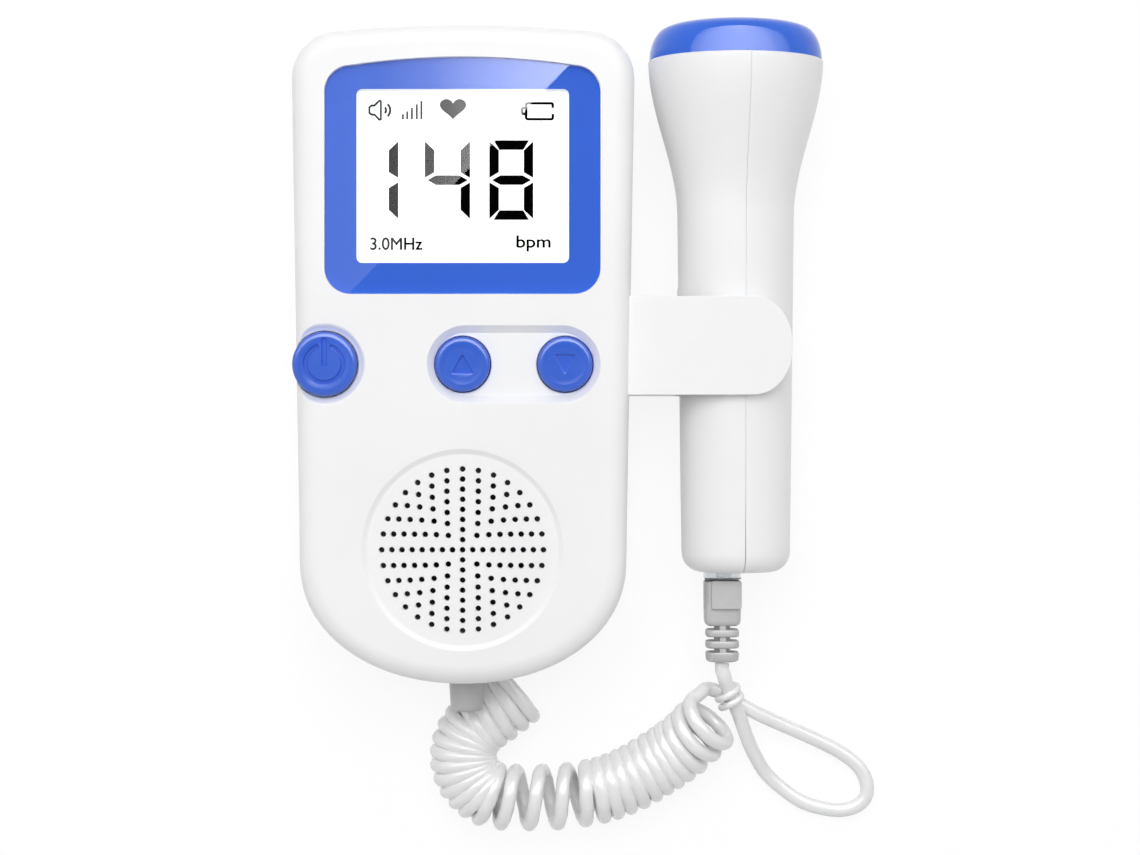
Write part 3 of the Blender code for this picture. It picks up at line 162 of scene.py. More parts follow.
def dress(item, material, body, nodes=(), angle=32):
    item.data.transform(Matrix.Translation(caseMid))
    item.data.materials.clear()
    item.data.materials.append(material)
    pickOnly(item)
    bpy.ops.object.shade_smooth_by_angle(angle=math.radians(angle))
    applyModifier(item, "WEIGHTED_NORMAL", {"keep_sharp": True, "weight": 60})
    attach(item, body)
    if nodes:
        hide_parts(*nodes)
    return item


# Outlines, as lists of points

def arcPoints(centre, radius, start, end, steps):
    points = []
    for place in range(steps + 1):
        angle = start + (end - start) * place / steps
        points.append((centre[0] + radius * math.cos(angle), centre[1] + radius * math.sin(angle)))
    return points


def circlePoints(centre, radius, sides):
    return arcPoints(centre, radius, 0, 2 * math.pi, sides)[:-1]


def roundedRectangle(centre, width, height, radius, steps=6):
    points = []
    for quarter, (sideX, sideY) in enumerate(((1, 1), (-1, 1), (-1, -1), (1, -1))):
        corner = (centre[0] + sideX * (width / 2 - radius), centre[1] + sideY * (height / 2 - radius))
        points += arcPoints(corner, radius, quarter * math.pi / 2, (quarter + 1) * math.pi / 2, steps)
    return points


def roundedPolygon(corners, radius, steps=4):
    points = []
    count = len(corners)
    for place, corner in enumerate(corners):
        here = Vector(corner)
        before = (Vector(corners[place - 1]) - here).normalized()
        after = (Vector(corners[(place + 1) % count]) - here).normalized()
        half = before.angle(after) / 2
        start = here + before * radius / math.tan(half)
        end = here + after * radius / math.tan(half)
        middle = here + (before + after).normalized() * radius / math.sin(half)
        for step in range(steps + 1):
            point = middle + (start - middle).slerp(end - middle, step / steps) * radius
            points.append((point.x, point.y))
    return points


def stadiumPoints(centre, reach, radius, steps):
    right = arcPoints((centre[0] + reach, centre[1]), radius, -math.pi / 2, math.pi / 2, steps)
    left = arcPoints((centre[0] - reach, centre[1]), radius, math.pi / 2, 3 * math.pi / 2, steps)
    return right + left


def quarterRound(radius, steps):
    # Inset and drop along a rounded edge, from the wall to the face.
    turns = [math.pi / 2 * step / steps for step in range(1, steps + 1)]
    return [(radius * (1 - math.cos(turn)), radius * (1 - math.sin(turn))) for turn in turns]


def crownedTop(halfWidth, top, rise, radius, steps):
    # The upper right corner, then the slightly crowned edge to the middle.
    cornerX = halfWidth - radius
    points = arcPoints((cornerX, top - rise - radius), radius, 0, math.pi / 2, steps)
    return points + [(cornerX * share, top - rise * share * share) for share in (0.8, 0.6, 0.4, 0.2, 0.0)]


def mirroredPoints(half):
    return half + [(-x, y) for x, y in reversed(half) if x > 1e-6]


def flatRing(outline, level):
    return [(x, y, level) for x, y in outline]


def prism(name, outline, low, high):
    return raiseOutline(name, [flatRing(outline, low), flatRing(outline, high)])


def blockOf(name, low, high):
    corners = [(high[0], high[1]), (low[0], high[1]), (low[0], low[1]), (high[0], low[1])]
    return prism(name, corners, low[2], high[2])


def turned(name, centre, profile, sides, axis="Z"):
    # The profile is radius and height along the axis.
    rings = []
    for radius, height in profile:
        ring = []
        for side, up in circlePoints((0, 0), radius, sides):
            if axis == "Z":
                ring.append((centre[0] + side, centre[1] + up, centre[2] + height))
            elif axis == "Y":
                ring.append((centre[0] + side, centre[1] + height, centre[2] + up))
            else:
                ring.append((centre[0] + height, centre[1] + side, centre[2] + up))
        rings.append(ring)
    return raiseOutline(name, rings)


def smoothLine(points, step):
    given = [Vector(point) for point in points]
    padded = [2 * given[0] - given[1]] + given + [2 * given[-1] - given[-2]]
    dense = []
    for place in range(1, len(padded) - 2):
        before, start, end, after = padded[place - 1:place + 3]
        for part in range(12):
            t = part / 12
            dense.append(0.5 * (2 * start + (end - before) * t + (2 * before - 5 * start + 4 * end - after) * t * t
                                + (3 * start - before - 3 * end + after) * t ** 3))
    dense.append(given[-1])
    travelled = [0.0]
    for first, second in zip(dense, dense[1:]):
        travelled.append(travelled[-1] + (second - first).length)
    count = max(2, round(travelled[-1] / step))
    line = []
    place = 0
    for index in range(count + 1):
        target = travelled[-1] * index / count
        while place < len(dense) - 2 and travelled[place + 1] < target:
            place += 1
        span = travelled[place + 1] - travelled[place]
        line.append(dense[place].lerp(dense[place + 1], min((target - travelled[place]) / span, 1.0) if span else 0.0))
    return line


def drawnLine(name, points, radius, rings=6, closed=False):
    curve = bpy.data.curves.new(name, "CURVE")
    curve.dimensions = "3D"
    curve.bevel_depth = radius
    curve.bevel_resolution = rings
    curve.use_fill_caps = not closed
    spline = curve.splines.new("POLY")
    spline.points.add(len(points) - 1)
    for target, point in zip(spline.points, points):
        target.co = (point[0], point[1], point[2], 1.0)
    spline.use_cyclic_u = closed
    item = bpy.data.objects.new(name, curve)
    scene.collection.objects.link(item)
    return item


def meshOf(item):
    pickOnly(item)
    bpy.ops.object.convert(target="MESH")
    return bpy.context.object


# Materials

def hexColour(text):
    channels = [int(text[start:start + 2], 16) / 255 for start in (1, 3, 5)]
    linear = [value / 12.92 if value <= 0.04045 else ((value + 0.055) / 1.055) ** 2.4 for value in channels]
    return (*linear, 1.0)


def addNode(tree, kind, settings=None, links=None):
    node = tree.nodes.new(kind)
    for setting, value in (settings or {}).items():
        if isinstance(setting, int) or setting in node.inputs:
            node.inputs[setting].default_value = value
        else:
            setattr(node, setting, value)
    for socket, source in (links or {}).items():
        tree.links.new(source, node.inputs[socket])
    return node


def startMaterial(name):
    material = bpy.data.materials.new(name)
    material.use_nodes = True
    tree = material.node_tree
    shader = tree.nodes["Principled BSDF"]
    place = addNode(tree, "ShaderNodeTexCoord").outputs["Object"]
    return material, tree, shader, place


def surfaceFrom(tree, shader, pattern, low, high, spread=(0.0, 1.0), strength=0.0, distance=0.0):
    # One pattern drives the roughness between these values and, where asked, a fine bump.
    gloss = addNode(tree, "ShaderNodeMapRange", {
        "From Min": spread[0], "From Max": spread[1], "To Min": low, "To Max": high,
    }, {"Value": pattern.outputs["Fac"]})
    tree.links.new(gloss.outputs["Result"], shader.inputs["Roughness"])
    if strength:
        bump = addNode(tree, "ShaderNodeBump", {"Strength": strength, "Distance": distance},
                       {"Height": pattern.outputs["Fac"]})
        tree.links.new(bump.outputs["Normal"], shader.inputs["Normal"])


def texturedPlastic(name, spec):
    # Moulded plastic: faint cloudy shade, a fine spark-eroded grain and a slightly uneven gloss.
    material, tree, shader, place = startMaterial(name)
    cloud = addNode(tree, "ShaderNodeTexNoise", {"Scale": 1 / spec["cloudSize"], "Detail": 3.0}, {"Vector": place})
    shade = addNode(tree, "ShaderNodeValToRGB", None, {"Fac": cloud.outputs["Fac"]})
    shade.color_ramp.elements[0].position = 0.35
    shade.color_ramp.elements[0].color = hexColour(spec["darkColour"])
    shade.color_ramp.elements[1].position = 0.65
    shade.color_ramp.elements[1].color = hexColour(spec["colour"])
    tree.links.new(shade.outputs["Color"], shader.inputs["Base Color"])
    grain = addNode(tree, "ShaderNodeTexNoise", {"Scale": 1 / spec["grainSize"], "Detail": 4.0, "Roughness": 0.6},
                    {"Vector": place})
    surfaceFrom(tree, shader, grain, spec["roughness"] - spec["roughSpread"], spec["roughness"] + spec["roughSpread"],
                (0.3, 0.7), spec["bump"], spec["grainSize"] / 8)
    shader.inputs["IOR"].default_value = spec["ior"]
    shader.inputs["Specular IOR Level"].default_value = spec.get("specular", 0.5)
    return material


def platedMetal(name, spec):
    # Bright plate over drawn steel or brass: metal colour with fine drawing lines.
    material, tree, shader, place = startMaterial(name)
    turn = addNode(tree, "ShaderNodeMapping", {"Scale": (1.0, 0.08, 1.0)}, {"Vector": place})
    lines = addNode(tree, "ShaderNodeTexNoise", {"Scale": 1 / spec["lineSize"], "Detail": 3.0},
                    {"Vector": turn.outputs["Vector"]})
    surfaceFrom(tree, shader, lines, spec["roughness"] * 0.8, spec["roughness"] * 1.3, (0.3, 0.7), 0.15,
                spec["lineSize"] / 6)
    shader.inputs["Base Color"].default_value = hexColour(spec["colour"])
    shader.inputs["Metallic"].default_value = 1.0
    return material


# White ABS case: the spark-eroded mould leaves it nearly matt.
# The grain is drawn at 0.35 mm, coarser than the real 0.05 mm.
whiteAbsMoulded = texturedPlastic("whiteAbsMoulded", {
    "colour": "#f6f6f6", "darkColour": "#f3f3f4", "cloudSize": 0.030, "grainSize": 0.00035,
    "roughness": 0.36, "roughSpread": 0.05, "bump": 0.06, "ior": 1.52, "specular": 0.1,
})
# The same ABS left as it comes from the mould, for the parts inside.
whiteAbsInner = texturedPlastic("whiteAbsInner", {
    "colour": "#e6e6e4", "darkColour": "#dddddb", "cloudSize": 0.018, "grainSize": 0.0005,
    "roughness": 0.5, "roughSpread": 0.07, "bump": 0.12, "ior": 1.52,
})
# Blue ABS of the keys, moulded smooth, with a clear highlight.
blueAbsMoulded = texturedPlastic("blueAbsMoulded", {
    "colour": "#3564d6", "darkColour": "#3261d2", "cloudSize": 0.012, "grainSize": 0.0009,
    "roughness": 0.16, "roughSpread": 0.03, "bump": 0.012, "ior": 1.52,
})
# The same ABS, polished in the mould, for the probe's cap.
blueAbsPolished = texturedPlastic("blueAbsPolished", {
    "colour": "#1f63dc", "darkColour": "#1c60d8", "cloudSize": 0.015, "grainSize": 0.0009,
    "roughness": 0.07, "roughSpread": 0.02, "bump": 0.008, "ior": 1.46,
})
# Grey PVC moulded round the cord: soft, with a dull rubbery gloss.
greyPvcMoulded = texturedPlastic("greyPvcMoulded", {
    "colour": "#bdbdbd", "darkColour": "#b3b3b3", "cloudSize": 0.006, "grainSize": 0.00028,
    "roughness": 0.46, "roughSpread": 0.06, "bump": 0.10, "ior": 1.53,
})
# White PVC cord jacket, extruded, smooth and glossy along its length.
whitePvcExtruded = texturedPlastic("whitePvcExtruded", {
    "colour": "#f1f1f1", "darkColour": "#ebebec", "cloudSize": 0.009, "grainSize": 0.00040,
    "roughness": 0.24, "roughSpread": 0.05, "bump": 0.06, "ior": 1.53,
})
# Black glass-filled nylon, matt, for sockets and switches.
blackNylonMoulded = texturedPlastic("blackNylonMoulded", {
    "colour": "#202022", "darkColour": "#18181a", "cloudSize": 0.004, "grainSize": 0.00025,
    "roughness": 0.5, "roughSpread": 0.08, "bump": 0.15, "ior": 1.53,
})
# Printed blue film, laminated behind the lens without an air gap, so it has no gloss of its own.
blueFilmPrinted = texturedPlastic("blueFilmPrinted", {
    "colour": "#4673e0", "darkColour": "#4371dd", "cloudSize": 0.040, "grainSize": 0.00022,
    "roughness": 0.5, "roughSpread": 0.05, "bump": 0.03, "ior": 1.45, "specular": 0.0,
})
# Pulp paper of the loudspeaker cone, with felted fibres.
greyPulpPressed = texturedPlastic("greyPulpPressed", {
    "colour": "#4a4a4c", "darkColour": "#38383a", "cloudSize": 0.003, "grainSize": 0.00045,
    "roughness": 0.85, "roughSpread": 0.08, "bump": 0.5, "ior": 1.45,
})
# Green solder mask, glossy over the copper tracks.
greenSolderMask = texturedPlastic("greenSolderMask", {
    "colour": "#1f6a3a", "darkColour": "#14502a", "cloudSize": 0.0025, "grainSize": 0.0008,
    "roughness": 0.3, "roughSpread": 0.08, "bump": 0.3, "ior": 1.5,
})
# Printed PVC sleeve of the cells.
greyPvcShrunk = texturedPlastic("greyPvcShrunk", {
    "colour": "#6a747d", "darkColour": "#59636b", "cloudSize": 0.010, "grainSize": 0.0006,
    "roughness": 0.3, "roughSpread": 0.06, "bump": 0.1, "ior": 1.53,
})
# Black segments of the liquid crystal, behind the polariser and laminated too.
blackLcdSegment = texturedPlastic("blackLcdSegment", {
    "colour": "#050505", "darkColour": "#030303", "cloudSize": 0.004, "grainSize": 0.0003,
    "roughness": 0.55, "roughSpread": 0.04, "bump": 0.02, "ior": 1.45, "specular": 0.0,
})
# Nickel plate on drawn steel, and gold plate on the brass contacts.
nickelPlatedSteel = platedMetal("nickelPlatedSteel", {"colour": "#c4c6c9", "roughness": 0.26, "lineSize": 0.0004})
goldPlatedBrass = platedMetal("goldPlatedBrass", {"colour": "#d9b45c", "roughness": 0.22, "lineSize": 0.0003})


def polariserFilm():
    # Liquid crystal behind its polariser: warm white with a faint cloudy shade, and a painted glow from its emission
    # that brightens it to white.
    material, tree, shader, place = startMaterial("whiteLcdPolariserPaintedGlow")
    cloud = addNode(tree, "ShaderNodeTexNoise", {"Scale": 1 / 0.020, "Detail": 2.0}, {"Vector": place})
    shade = addNode(tree, "ShaderNodeValToRGB", None, {"Fac": cloud.outputs["Fac"]})
    shade.color_ramp.elements[0].color = hexColour("#f8f9f4")
    shade.color_ramp.elements[1].color = hexColour("#fbfbf7")
    tree.links.new(shade.outputs["Color"], shader.inputs["Base Color"])
    grain = addNode(tree, "ShaderNodeTexNoise", {"Scale": 1 / 0.0003, "Detail": 2.0}, {"Vector": place})
    surfaceFrom(tree, shader, grain, 0.4, 0.6)
    # Painted glow: the panel emits light of its own to look brighter, though it is no lamp.
    shader.inputs["Emission Color"].default_value = hexColour("#fffff6")
    shader.inputs["Emission Strength"].default_value = 0.42
    return material


def clearAcrylic():
    # Polished acrylic sheet: nearly invisible, so only its gloss shows, stronger towards grazing views.
    material, tree, shader, place = startMaterial("clearAcrylicPolished")
    shader.inputs["Base Color"].default_value = (1.0, 1.0, 1.0, 1.0)
    shader.inputs["Metallic"].default_value = 1.0
    haze = addNode(tree, "ShaderNodeTexNoise", {"Scale": 1 / 0.015, "Detail": 2.0}, {"Vector": place})
    surfaceFrom(tree, shader, haze, 0.0, 0.006)
    clear = addNode(tree, "ShaderNodeBsdfTransparent", {"Color": (0.985, 0.99, 1.0, 1.0)})
    # The sheet's faces are both seen straight through, so the gloss goes by the angle alone and not by the side.
    slant = addNode(tree, "ShaderNodeLayerWeight", {"Blend": 0.5})
    steep = addNode(tree, "ShaderNodeMath", {"operation": "POWER", 1: 5.0}, {0: slant.outputs["Facing"]})
    share = addNode(tree, "ShaderNodeMapRange", {"To Min": 0.039, "To Max": 0.9}, {"Value": steep.outputs[0]})
    mix = addNode(tree, "ShaderNodeMixShader", None, {0: share.outputs["Result"], 1: clear.outputs["BSDF"],
                                                      2: shader.outputs["BSDF"]})
    tree.links.new(mix.outputs["Shader"], tree.nodes["Material Output"].inputs["Surface"])
    return material


def clearPolycarbonate():
    # Clear moulded polycarbonate of the plug: glassy, with soft flow lines along the moulding.
    material, tree, shader, place = startMaterial("clearPolycarbonateMoulded")
    shader.inputs["Base Color"].default_value = hexColour("#eef3f6")
    shader.inputs["Transmission Weight"].default_value = 0.85
    shader.inputs["IOR"].default_value = 1.58
    flow = addNode(tree, "ShaderNodeTexNoise", {"Scale": 1 / 0.0016, "Detail": 3.0}, {"Vector": place})
    surfaceFrom(tree, shader, flow, 0.04, 0.16, strength=0.3, distance=0.0001)
    return material


whiteLcdPolariserPaintedGlow = polariserFilm()
clearAcrylicPolished = clearAcrylic()
clearPolycarbonateMoulded = clearPolycarbonate()
print("materials done")


# Camera, straight above as in the photograph
cameraPlace = {"x": 0.0020, "y": -0.0132, "height": 0.600, "lens": 87.59, "sensor": 36.0, "across": 1140, "down": 855}

cameraData = bpy.data.cameras.new("camera")
cameraData.lens = cameraPlace["lens"]
cameraData.sensor_width = cameraPlace["sensor"]
cameraData.clip_start = 0.01
camera = bpy.data.objects.new("camera", cameraData)
scene.collection.objects.link(camera)
camera.location = (cameraPlace["x"], cameraPlace["y"], cameraPlace["height"])
scene.camera = camera


def fromPhoto(column, row, level):
    # Place in the case's own frame of a point seen at this column and row, lying at this level.
    perPixel = cameraPlace["sensor"] / cameraPlace["lens"] / cameraPlace["across"] * (cameraPlace["height"] - level)
    x = (column - cameraPlace["across"] / 2) * perPixel + cameraPlace["x"] - caseMid.x
    y = (cameraPlace["down"] / 2 - row) * perPixel + cameraPlace["y"] - caseMid.y
    return x, y


# Cords. The points follow the CAD cords' routes, about the case's middle.
cordSizes = {
    "radius": 0.00150, "curlRadius": 0.00570, "closedStep": 0.00294, "openStep": 0.0056,
    "openFrom": 0.0040, "openTo": 0.0275, "openBelow": -0.0885, "openEdge": 4, "endFrom": 0.0450, "endOpen": 0.35,
    "turnPoints": 24, "bendSpan": 0.0040, "endRun": 0.0030, "leadSpacing": 0.0008, "curlSpacing": 0.0009,
    "leadLength": 0.098, "curlLength": 1.120, "blendFrom": (0.0120, -0.09, 0.0073), "blendTo": (0.0470, -0.09, 0.0073),
}
bootEnd = (0.0539, -0.06453, 0.0164)
leadRoute = [
    bootEnd, (0.0539, -0.0660, 0.0164),
    (0.05435, -0.0672, 0.01625), (0.0548, -0.0688, 0.01530), (0.0556, -0.0709, 0.01340),
    (0.0567, -0.0733, 0.01150), (0.0579, -0.0762, 0.00970), (0.0592, -0.0798, 0.00740),
    (0.0611, -0.0844, 0.00460), (0.0639, -0.0892, 0.00230), (0.0678, -0.0929, 0.00160),
    (0.0720, -0.0957, 0.00155), (0.0761, -0.0970, 0.00155), (0.0801, -0.0975, 0.00155),
    (0.0837, -0.0966, 0.00155), (0.0857, -0.0945, 0.00155), (0.0859, -0.0917, 0.00155),
    (0.0845, -0.0886, 0.00155), (0.0817, -0.0860, 0.00160), (0.0775, -0.0835, 0.00200),
    (0.0721, -0.0809, 0.00300), (0.0668, -0.0785, 0.00440), (0.0624, -0.0764, 0.00590),
    (0.0592, -0.0746, 0.00690), (0.0563, -0.0728, 0.00710), (0.0545, -0.0718, 0.00710),
]
curlLeadIn = [
    (0.0545, -0.0718, 0.00710), (0.0530, -0.07117, 0.00710), (0.0517, -0.07080, 0.00720),
    (0.0506, -0.07080, 0.00840), (0.0497, -0.07130, 0.01050),
]
curlAxis = [
    (0.0519, -0.0765, 0.01220), (0.0497, -0.0790, 0.01080), (0.0470, -0.0819, 0.00920),
    (0.0437, -0.0846, 0.00800), (0.0396, -0.0873, 0.00740), (0.0347, -0.0901, 0.00730),
    (0.0292, -0.0922, 0.00730), (0.0234, -0.0934, 0.00730), (0.0176, -0.0939, 0.00730),
    (0.0124, -0.0940, 0.00730), (0.0080, -0.0939, 0.00730), (0.0042, -0.0931, 0.00730),
    (0.0012, -0.0907, 0.00730), (-0.0004, -0.0880, 0.00730), (-0.0009, -0.0850, 0.00730),
    (-0.0004, -0.0820, 0.00730), (0.0012, -0.0793, 0.00730), (0.0036, -0.0773, 0.00730),
    (0.0073, -0.0747, 0.00730), (0.0110, -0.07165, 0.00730),
]
tailMiddle = (0.0066, -0.0670, 0.0137)
reliefInlet = {"place": (0.0003, -0.0663, 0.0188), "radius": 0.00375, "sunk": 0.0006, "run": 0.0015,
               "angle": math.radians(41)}


def openShare(point):
    # The turns stand apart only in the middle of the lower run, and a little at the tie.
    if point.y > cordSizes["openBelow"]:
        return cordSizes["endOpen"] if point.x > cordSizes["endFrom"] else 0.0
    middle = (cordSizes["openFrom"] + cordSizes["openTo"]) / 2
    half = (cordSizes["openTo"] - cordSizes["openFrom"]) / 2
    return 1 - min(abs(point.x - middle) / half, 1.0) ** cordSizes["openEdge"]


def curlPoints():
    radius = cordSizes["curlRadius"]
    axis = smoothLine(curlAxis, radius / 40)
    step = (axis[1] - axis[0]).length
    reach = round(cordSizes["bendSpan"] / step)
    last = len(axis) - 1
    turnedBy = [0.0]
    for place in range(1, len(axis)):
        span = max(1, min(reach, place, last - place))
        before = axis[place] - axis[place - span]
        after = axis[min(place + span, last)] - axis[place]
        bend = before.angle(after, 0.0) / (span * step) if after.length else 0.0
        share = openShare(axis[place])
        pitch = cordSizes["closedStep"] + (cordSizes["openStep"] - cordSizes["closedStep"]) * share
        # Round the hairpin the turns stay close at the outside, and ride over each other at the inside.
        pitch /= 1 + bend * radius * (1 - share)
        turnedBy.append(turnedBy[-1] + 2 * math.pi * step / pitch)
    wholeTurns = math.floor((turnedBy[-1] - math.pi / 2) / (2 * math.pi))
    total = math.pi / 2 + 2 * math.pi * wholeTurns
    count = round(total / (2 * math.pi) * cordSizes["turnPoints"])
    up = Vector((0, 0, 1))
    points = []
    place = 0
    for index in range(count + 1):
        share = index / count
        while place < last - 1 and turnedBy[place + 1] < share * turnedBy[-1]:
            place += 1
        angle = math.pi - share * total
        tangent = (axis[place + 1] - axis[max(place - 1, 0)]).normalized()
        side = up.cross(tangent).normalized()
        rise = tangent.cross(side)
        points.append(axis[place] + radius * (side * math.cos(angle) + rise * math.sin(angle)))
    runEnd = points[-1] + cordSizes["endRun"] * side
    return points + [points[-1].lerp(runEnd, 0.5), runEnd]


leadLine = [point + caseMid for point in smoothLine(leadRoute, cordSizes["leadSpacing"])]
leadCord = drawnLine("leadCord", leadLine, cordSizes["radius"])
leadCord.data.materials.append(whitePvcExtruded)
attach(leadCord, "lead")
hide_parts("cord_lead")

inlet = Vector((math.cos(reliefInlet["angle"]), 0, -math.sin(reliefInlet["angle"])))
cordEnd = Vector(reliefInlet["place"]) + inlet * (reliefInlet["radius"] - reliefInlet["sunk"])
curledRoute = [Vector(point) for point in curlLeadIn] + curlPoints()
curledRoute += [Vector(tailMiddle), cordEnd + inlet * reliefInlet["run"], cordEnd]
curledLine = [point + caseMid for point in smoothLine(curledRoute, cordSizes["curlSpacing"])]
curledLine.reverse()
curledLength = sum((after - before).length for before, after in zip(curledLine, curledLine[1:]))
print(f"curled cord: {len(curledLine)} points, {curledLength * 1000:.0f} mm")
curledCord = meshOf(drawnLine("curledCord", curledLine, cordSizes["radius"]))
curledCord.data.materials.clear()
curledCord.data.materials.append(whitePvcExtruded)
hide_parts("cord_curls", "cord_tail")
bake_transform(curledCord)
print("cords done")


# Case outlines
caseSizes = {
    "length": 0.1349, "topWidth": 0.0702, "taper": 0.0033, "crownRise": 0.0012, "cornerRadius": 0.0098,
    "endHeight": 0.0250, "endPower": 2.1, "partLevel": 0.0200, "partGap": 0.00012, "wall": 0.0020,
    "depth": 0.0355, "frontInner": 0.0327, "backWall": 0.0024, "frontEdge": 0.0040, "backEdge": 0.0024,
    "tailRun": 0.0180, "gap": 0.0003, "draft": 0.0003, "lip": 0.00035, "lipSoft": 0.0001,
}
lensSizes = {
    "width": 0.0562, "height": 0.0483, "top": 0.06055, "corner": 0.0053, "crownRise": 0.0017, "face": 0.0353,
    "back": 0.0341, "edge": 0.00015, "maskFace": 0.03395, "maskBack": 0.03365, "maskGap": 0.00003,
    "pocketFloor": 0.0335, "pocketGap": 0.00004, "pocketLip": 0.00006, "openingGap": 0.0012,
    "lcdFace": 0.0324, "lcdBack": 0.0298, "lcdSide": 0.0024, "lcdEnd": 0.0030,
    "windowWidth": 0.0434, "windowHeight": 0.0355, "windowCorner": 0.0012,
}
keySizes = {
    "row": -0.00205, "upX": 0.0, "downX": 0.0209, "radius": 0.0056, "top": 0.0359, "edge": 0.0010,
    "dish": 0.00012, "powerX": -0.028075, "powerRadius": 0.0066, "powerTop": 0.0366, "powerEdge": 0.0011,
    "recessX": 0.01045, "recessReach": 0.0098, "recessRadius": 0.0077, "recessDepth": 0.0016, "recessSlope": 0.0013,
    "recessLip": 0.0004, "holeGap": 0.00022, "holeLip": 0.00025, "powerRecess": 0.0080, "powerDepth": 0.0036,
    "powerLip": ((-0.0011, 0.0013), (-0.0009, 0.00118), (-0.0004, 0.0008), (-0.0001, 0.0003), (0.0002, 0.00006)),
    "powerFlare": 0.0005, "cupWall": 0.0010, "stem": 0.0022, "stemHole": 0.0032, "stemLow": 0.02965,
    "flange": 0.0009, "flangeThick": 0.0008, "engraved": 0.0006,
}
speakerSizes = {
    "y": -0.0399, "dish": 0.0205, "slope": 0.0009, "depth": 0.0007, "hole": 0.00059, "step": 0.00206,
    "rings": 8, "perStep": 4, "holeSides": 12,
}
caseTop = caseSizes["length"] / 2
caseBottom = -caseTop
lensMiddle = lensSizes["top"] - lensSizes["height"] / 2
screwPlaces = [(-0.0285, 0.05945), (0.0285, 0.05945), (-0.0240, -0.04395), (0.0240, -0.04395)]


def caseOutline(inset=0.0):
    halfTop = caseSizes["topWidth"] / 2 - inset
    halfLow = (caseSizes["topWidth"] - caseSizes["taper"]) / 2 - inset
    endHeight = caseSizes["endHeight"] - inset
    endCentre = caseBottom + caseSizes["endHeight"]
    radius = caseSizes["cornerRadius"] - inset
    top = caseTop - inset
    power = 2 / caseSizes["endPower"]
    half = []
    for place in range(37):
        angle = math.pi / 2 * (place / 36 - 1)
        half.append((halfLow * max(math.cos(angle), 0.0) ** power if place else 0.0,
                     endCentre - endHeight * abs(math.sin(angle)) ** power))
    return mirroredPoints(half + crownedTop(halfTop, top, caseSizes["crownRise"], radius, 14))


def lensOutline(inset=0.0):
    halfWidth = lensSizes["width"] / 2 - inset
    radius = lensSizes["corner"] - inset
    top = lensSizes["top"] - inset
    low = lensSizes["top"] - lensSizes["height"] + inset
    half = [(0.0, low)] + arcPoints((halfWidth - radius, low + radius), radius, -math.pi / 2, 0, 10)
    return mirroredPoints(half + crownedTop(halfWidth, top, lensSizes["crownRise"], radius, 10))


# Front cover, with its pocket for the lens, the key recesses and the loudspeaker holes
def speakerHoles():
    low = caseSizes["frontInner"] - past
    face = caseSizes["depth"] - speakerSizes["depth"]
    radius = speakerSizes["hole"]
    profile = [(radius, low), (radius, face - 0.00012), (radius + 0.00012, face + hair),
               (radius + 0.00012, face + 2 * past)]
    first = turned("speakerHole", (0, speakerSizes["y"], 0), profile, speakerSizes["holeSides"])
    copies = [first]
    for ring in range(1, speakerSizes["rings"] + 1):
        count = speakerSizes["perStep"] * ring
        for place in range(count):
            angle = math.pi / 2 + 2 * math.pi * place / count
            reach = ring * speakerSizes["step"]
            copied = duplicateOf(first, "speakerHoleCopy")
            copied.data.transform(Matrix.Translation((reach * math.cos(angle), reach * math.sin(angle), 0)))
            copies.append(copied)
    return joinAll("speakerHoles", copies)


def flaredPrism(name, outlineAt, floor, rim, flare, slope=0.0):
    # A cutter whose wall may slope, with a small rounded lip at the rim.
    rings = [flatRing(outlineAt(slope), floor), flatRing(outlineAt(0.0), rim - flare)]
    rings.append(flatRing(outlineAt(-flare * 0.3), rim - flare * 0.35))
    rings.append(flatRing(outlineAt(-flare), rim + hair))
    rings.append(flatRing(outlineAt(-flare), rim + 2 * past))
    return raiseOutline(name, rings)


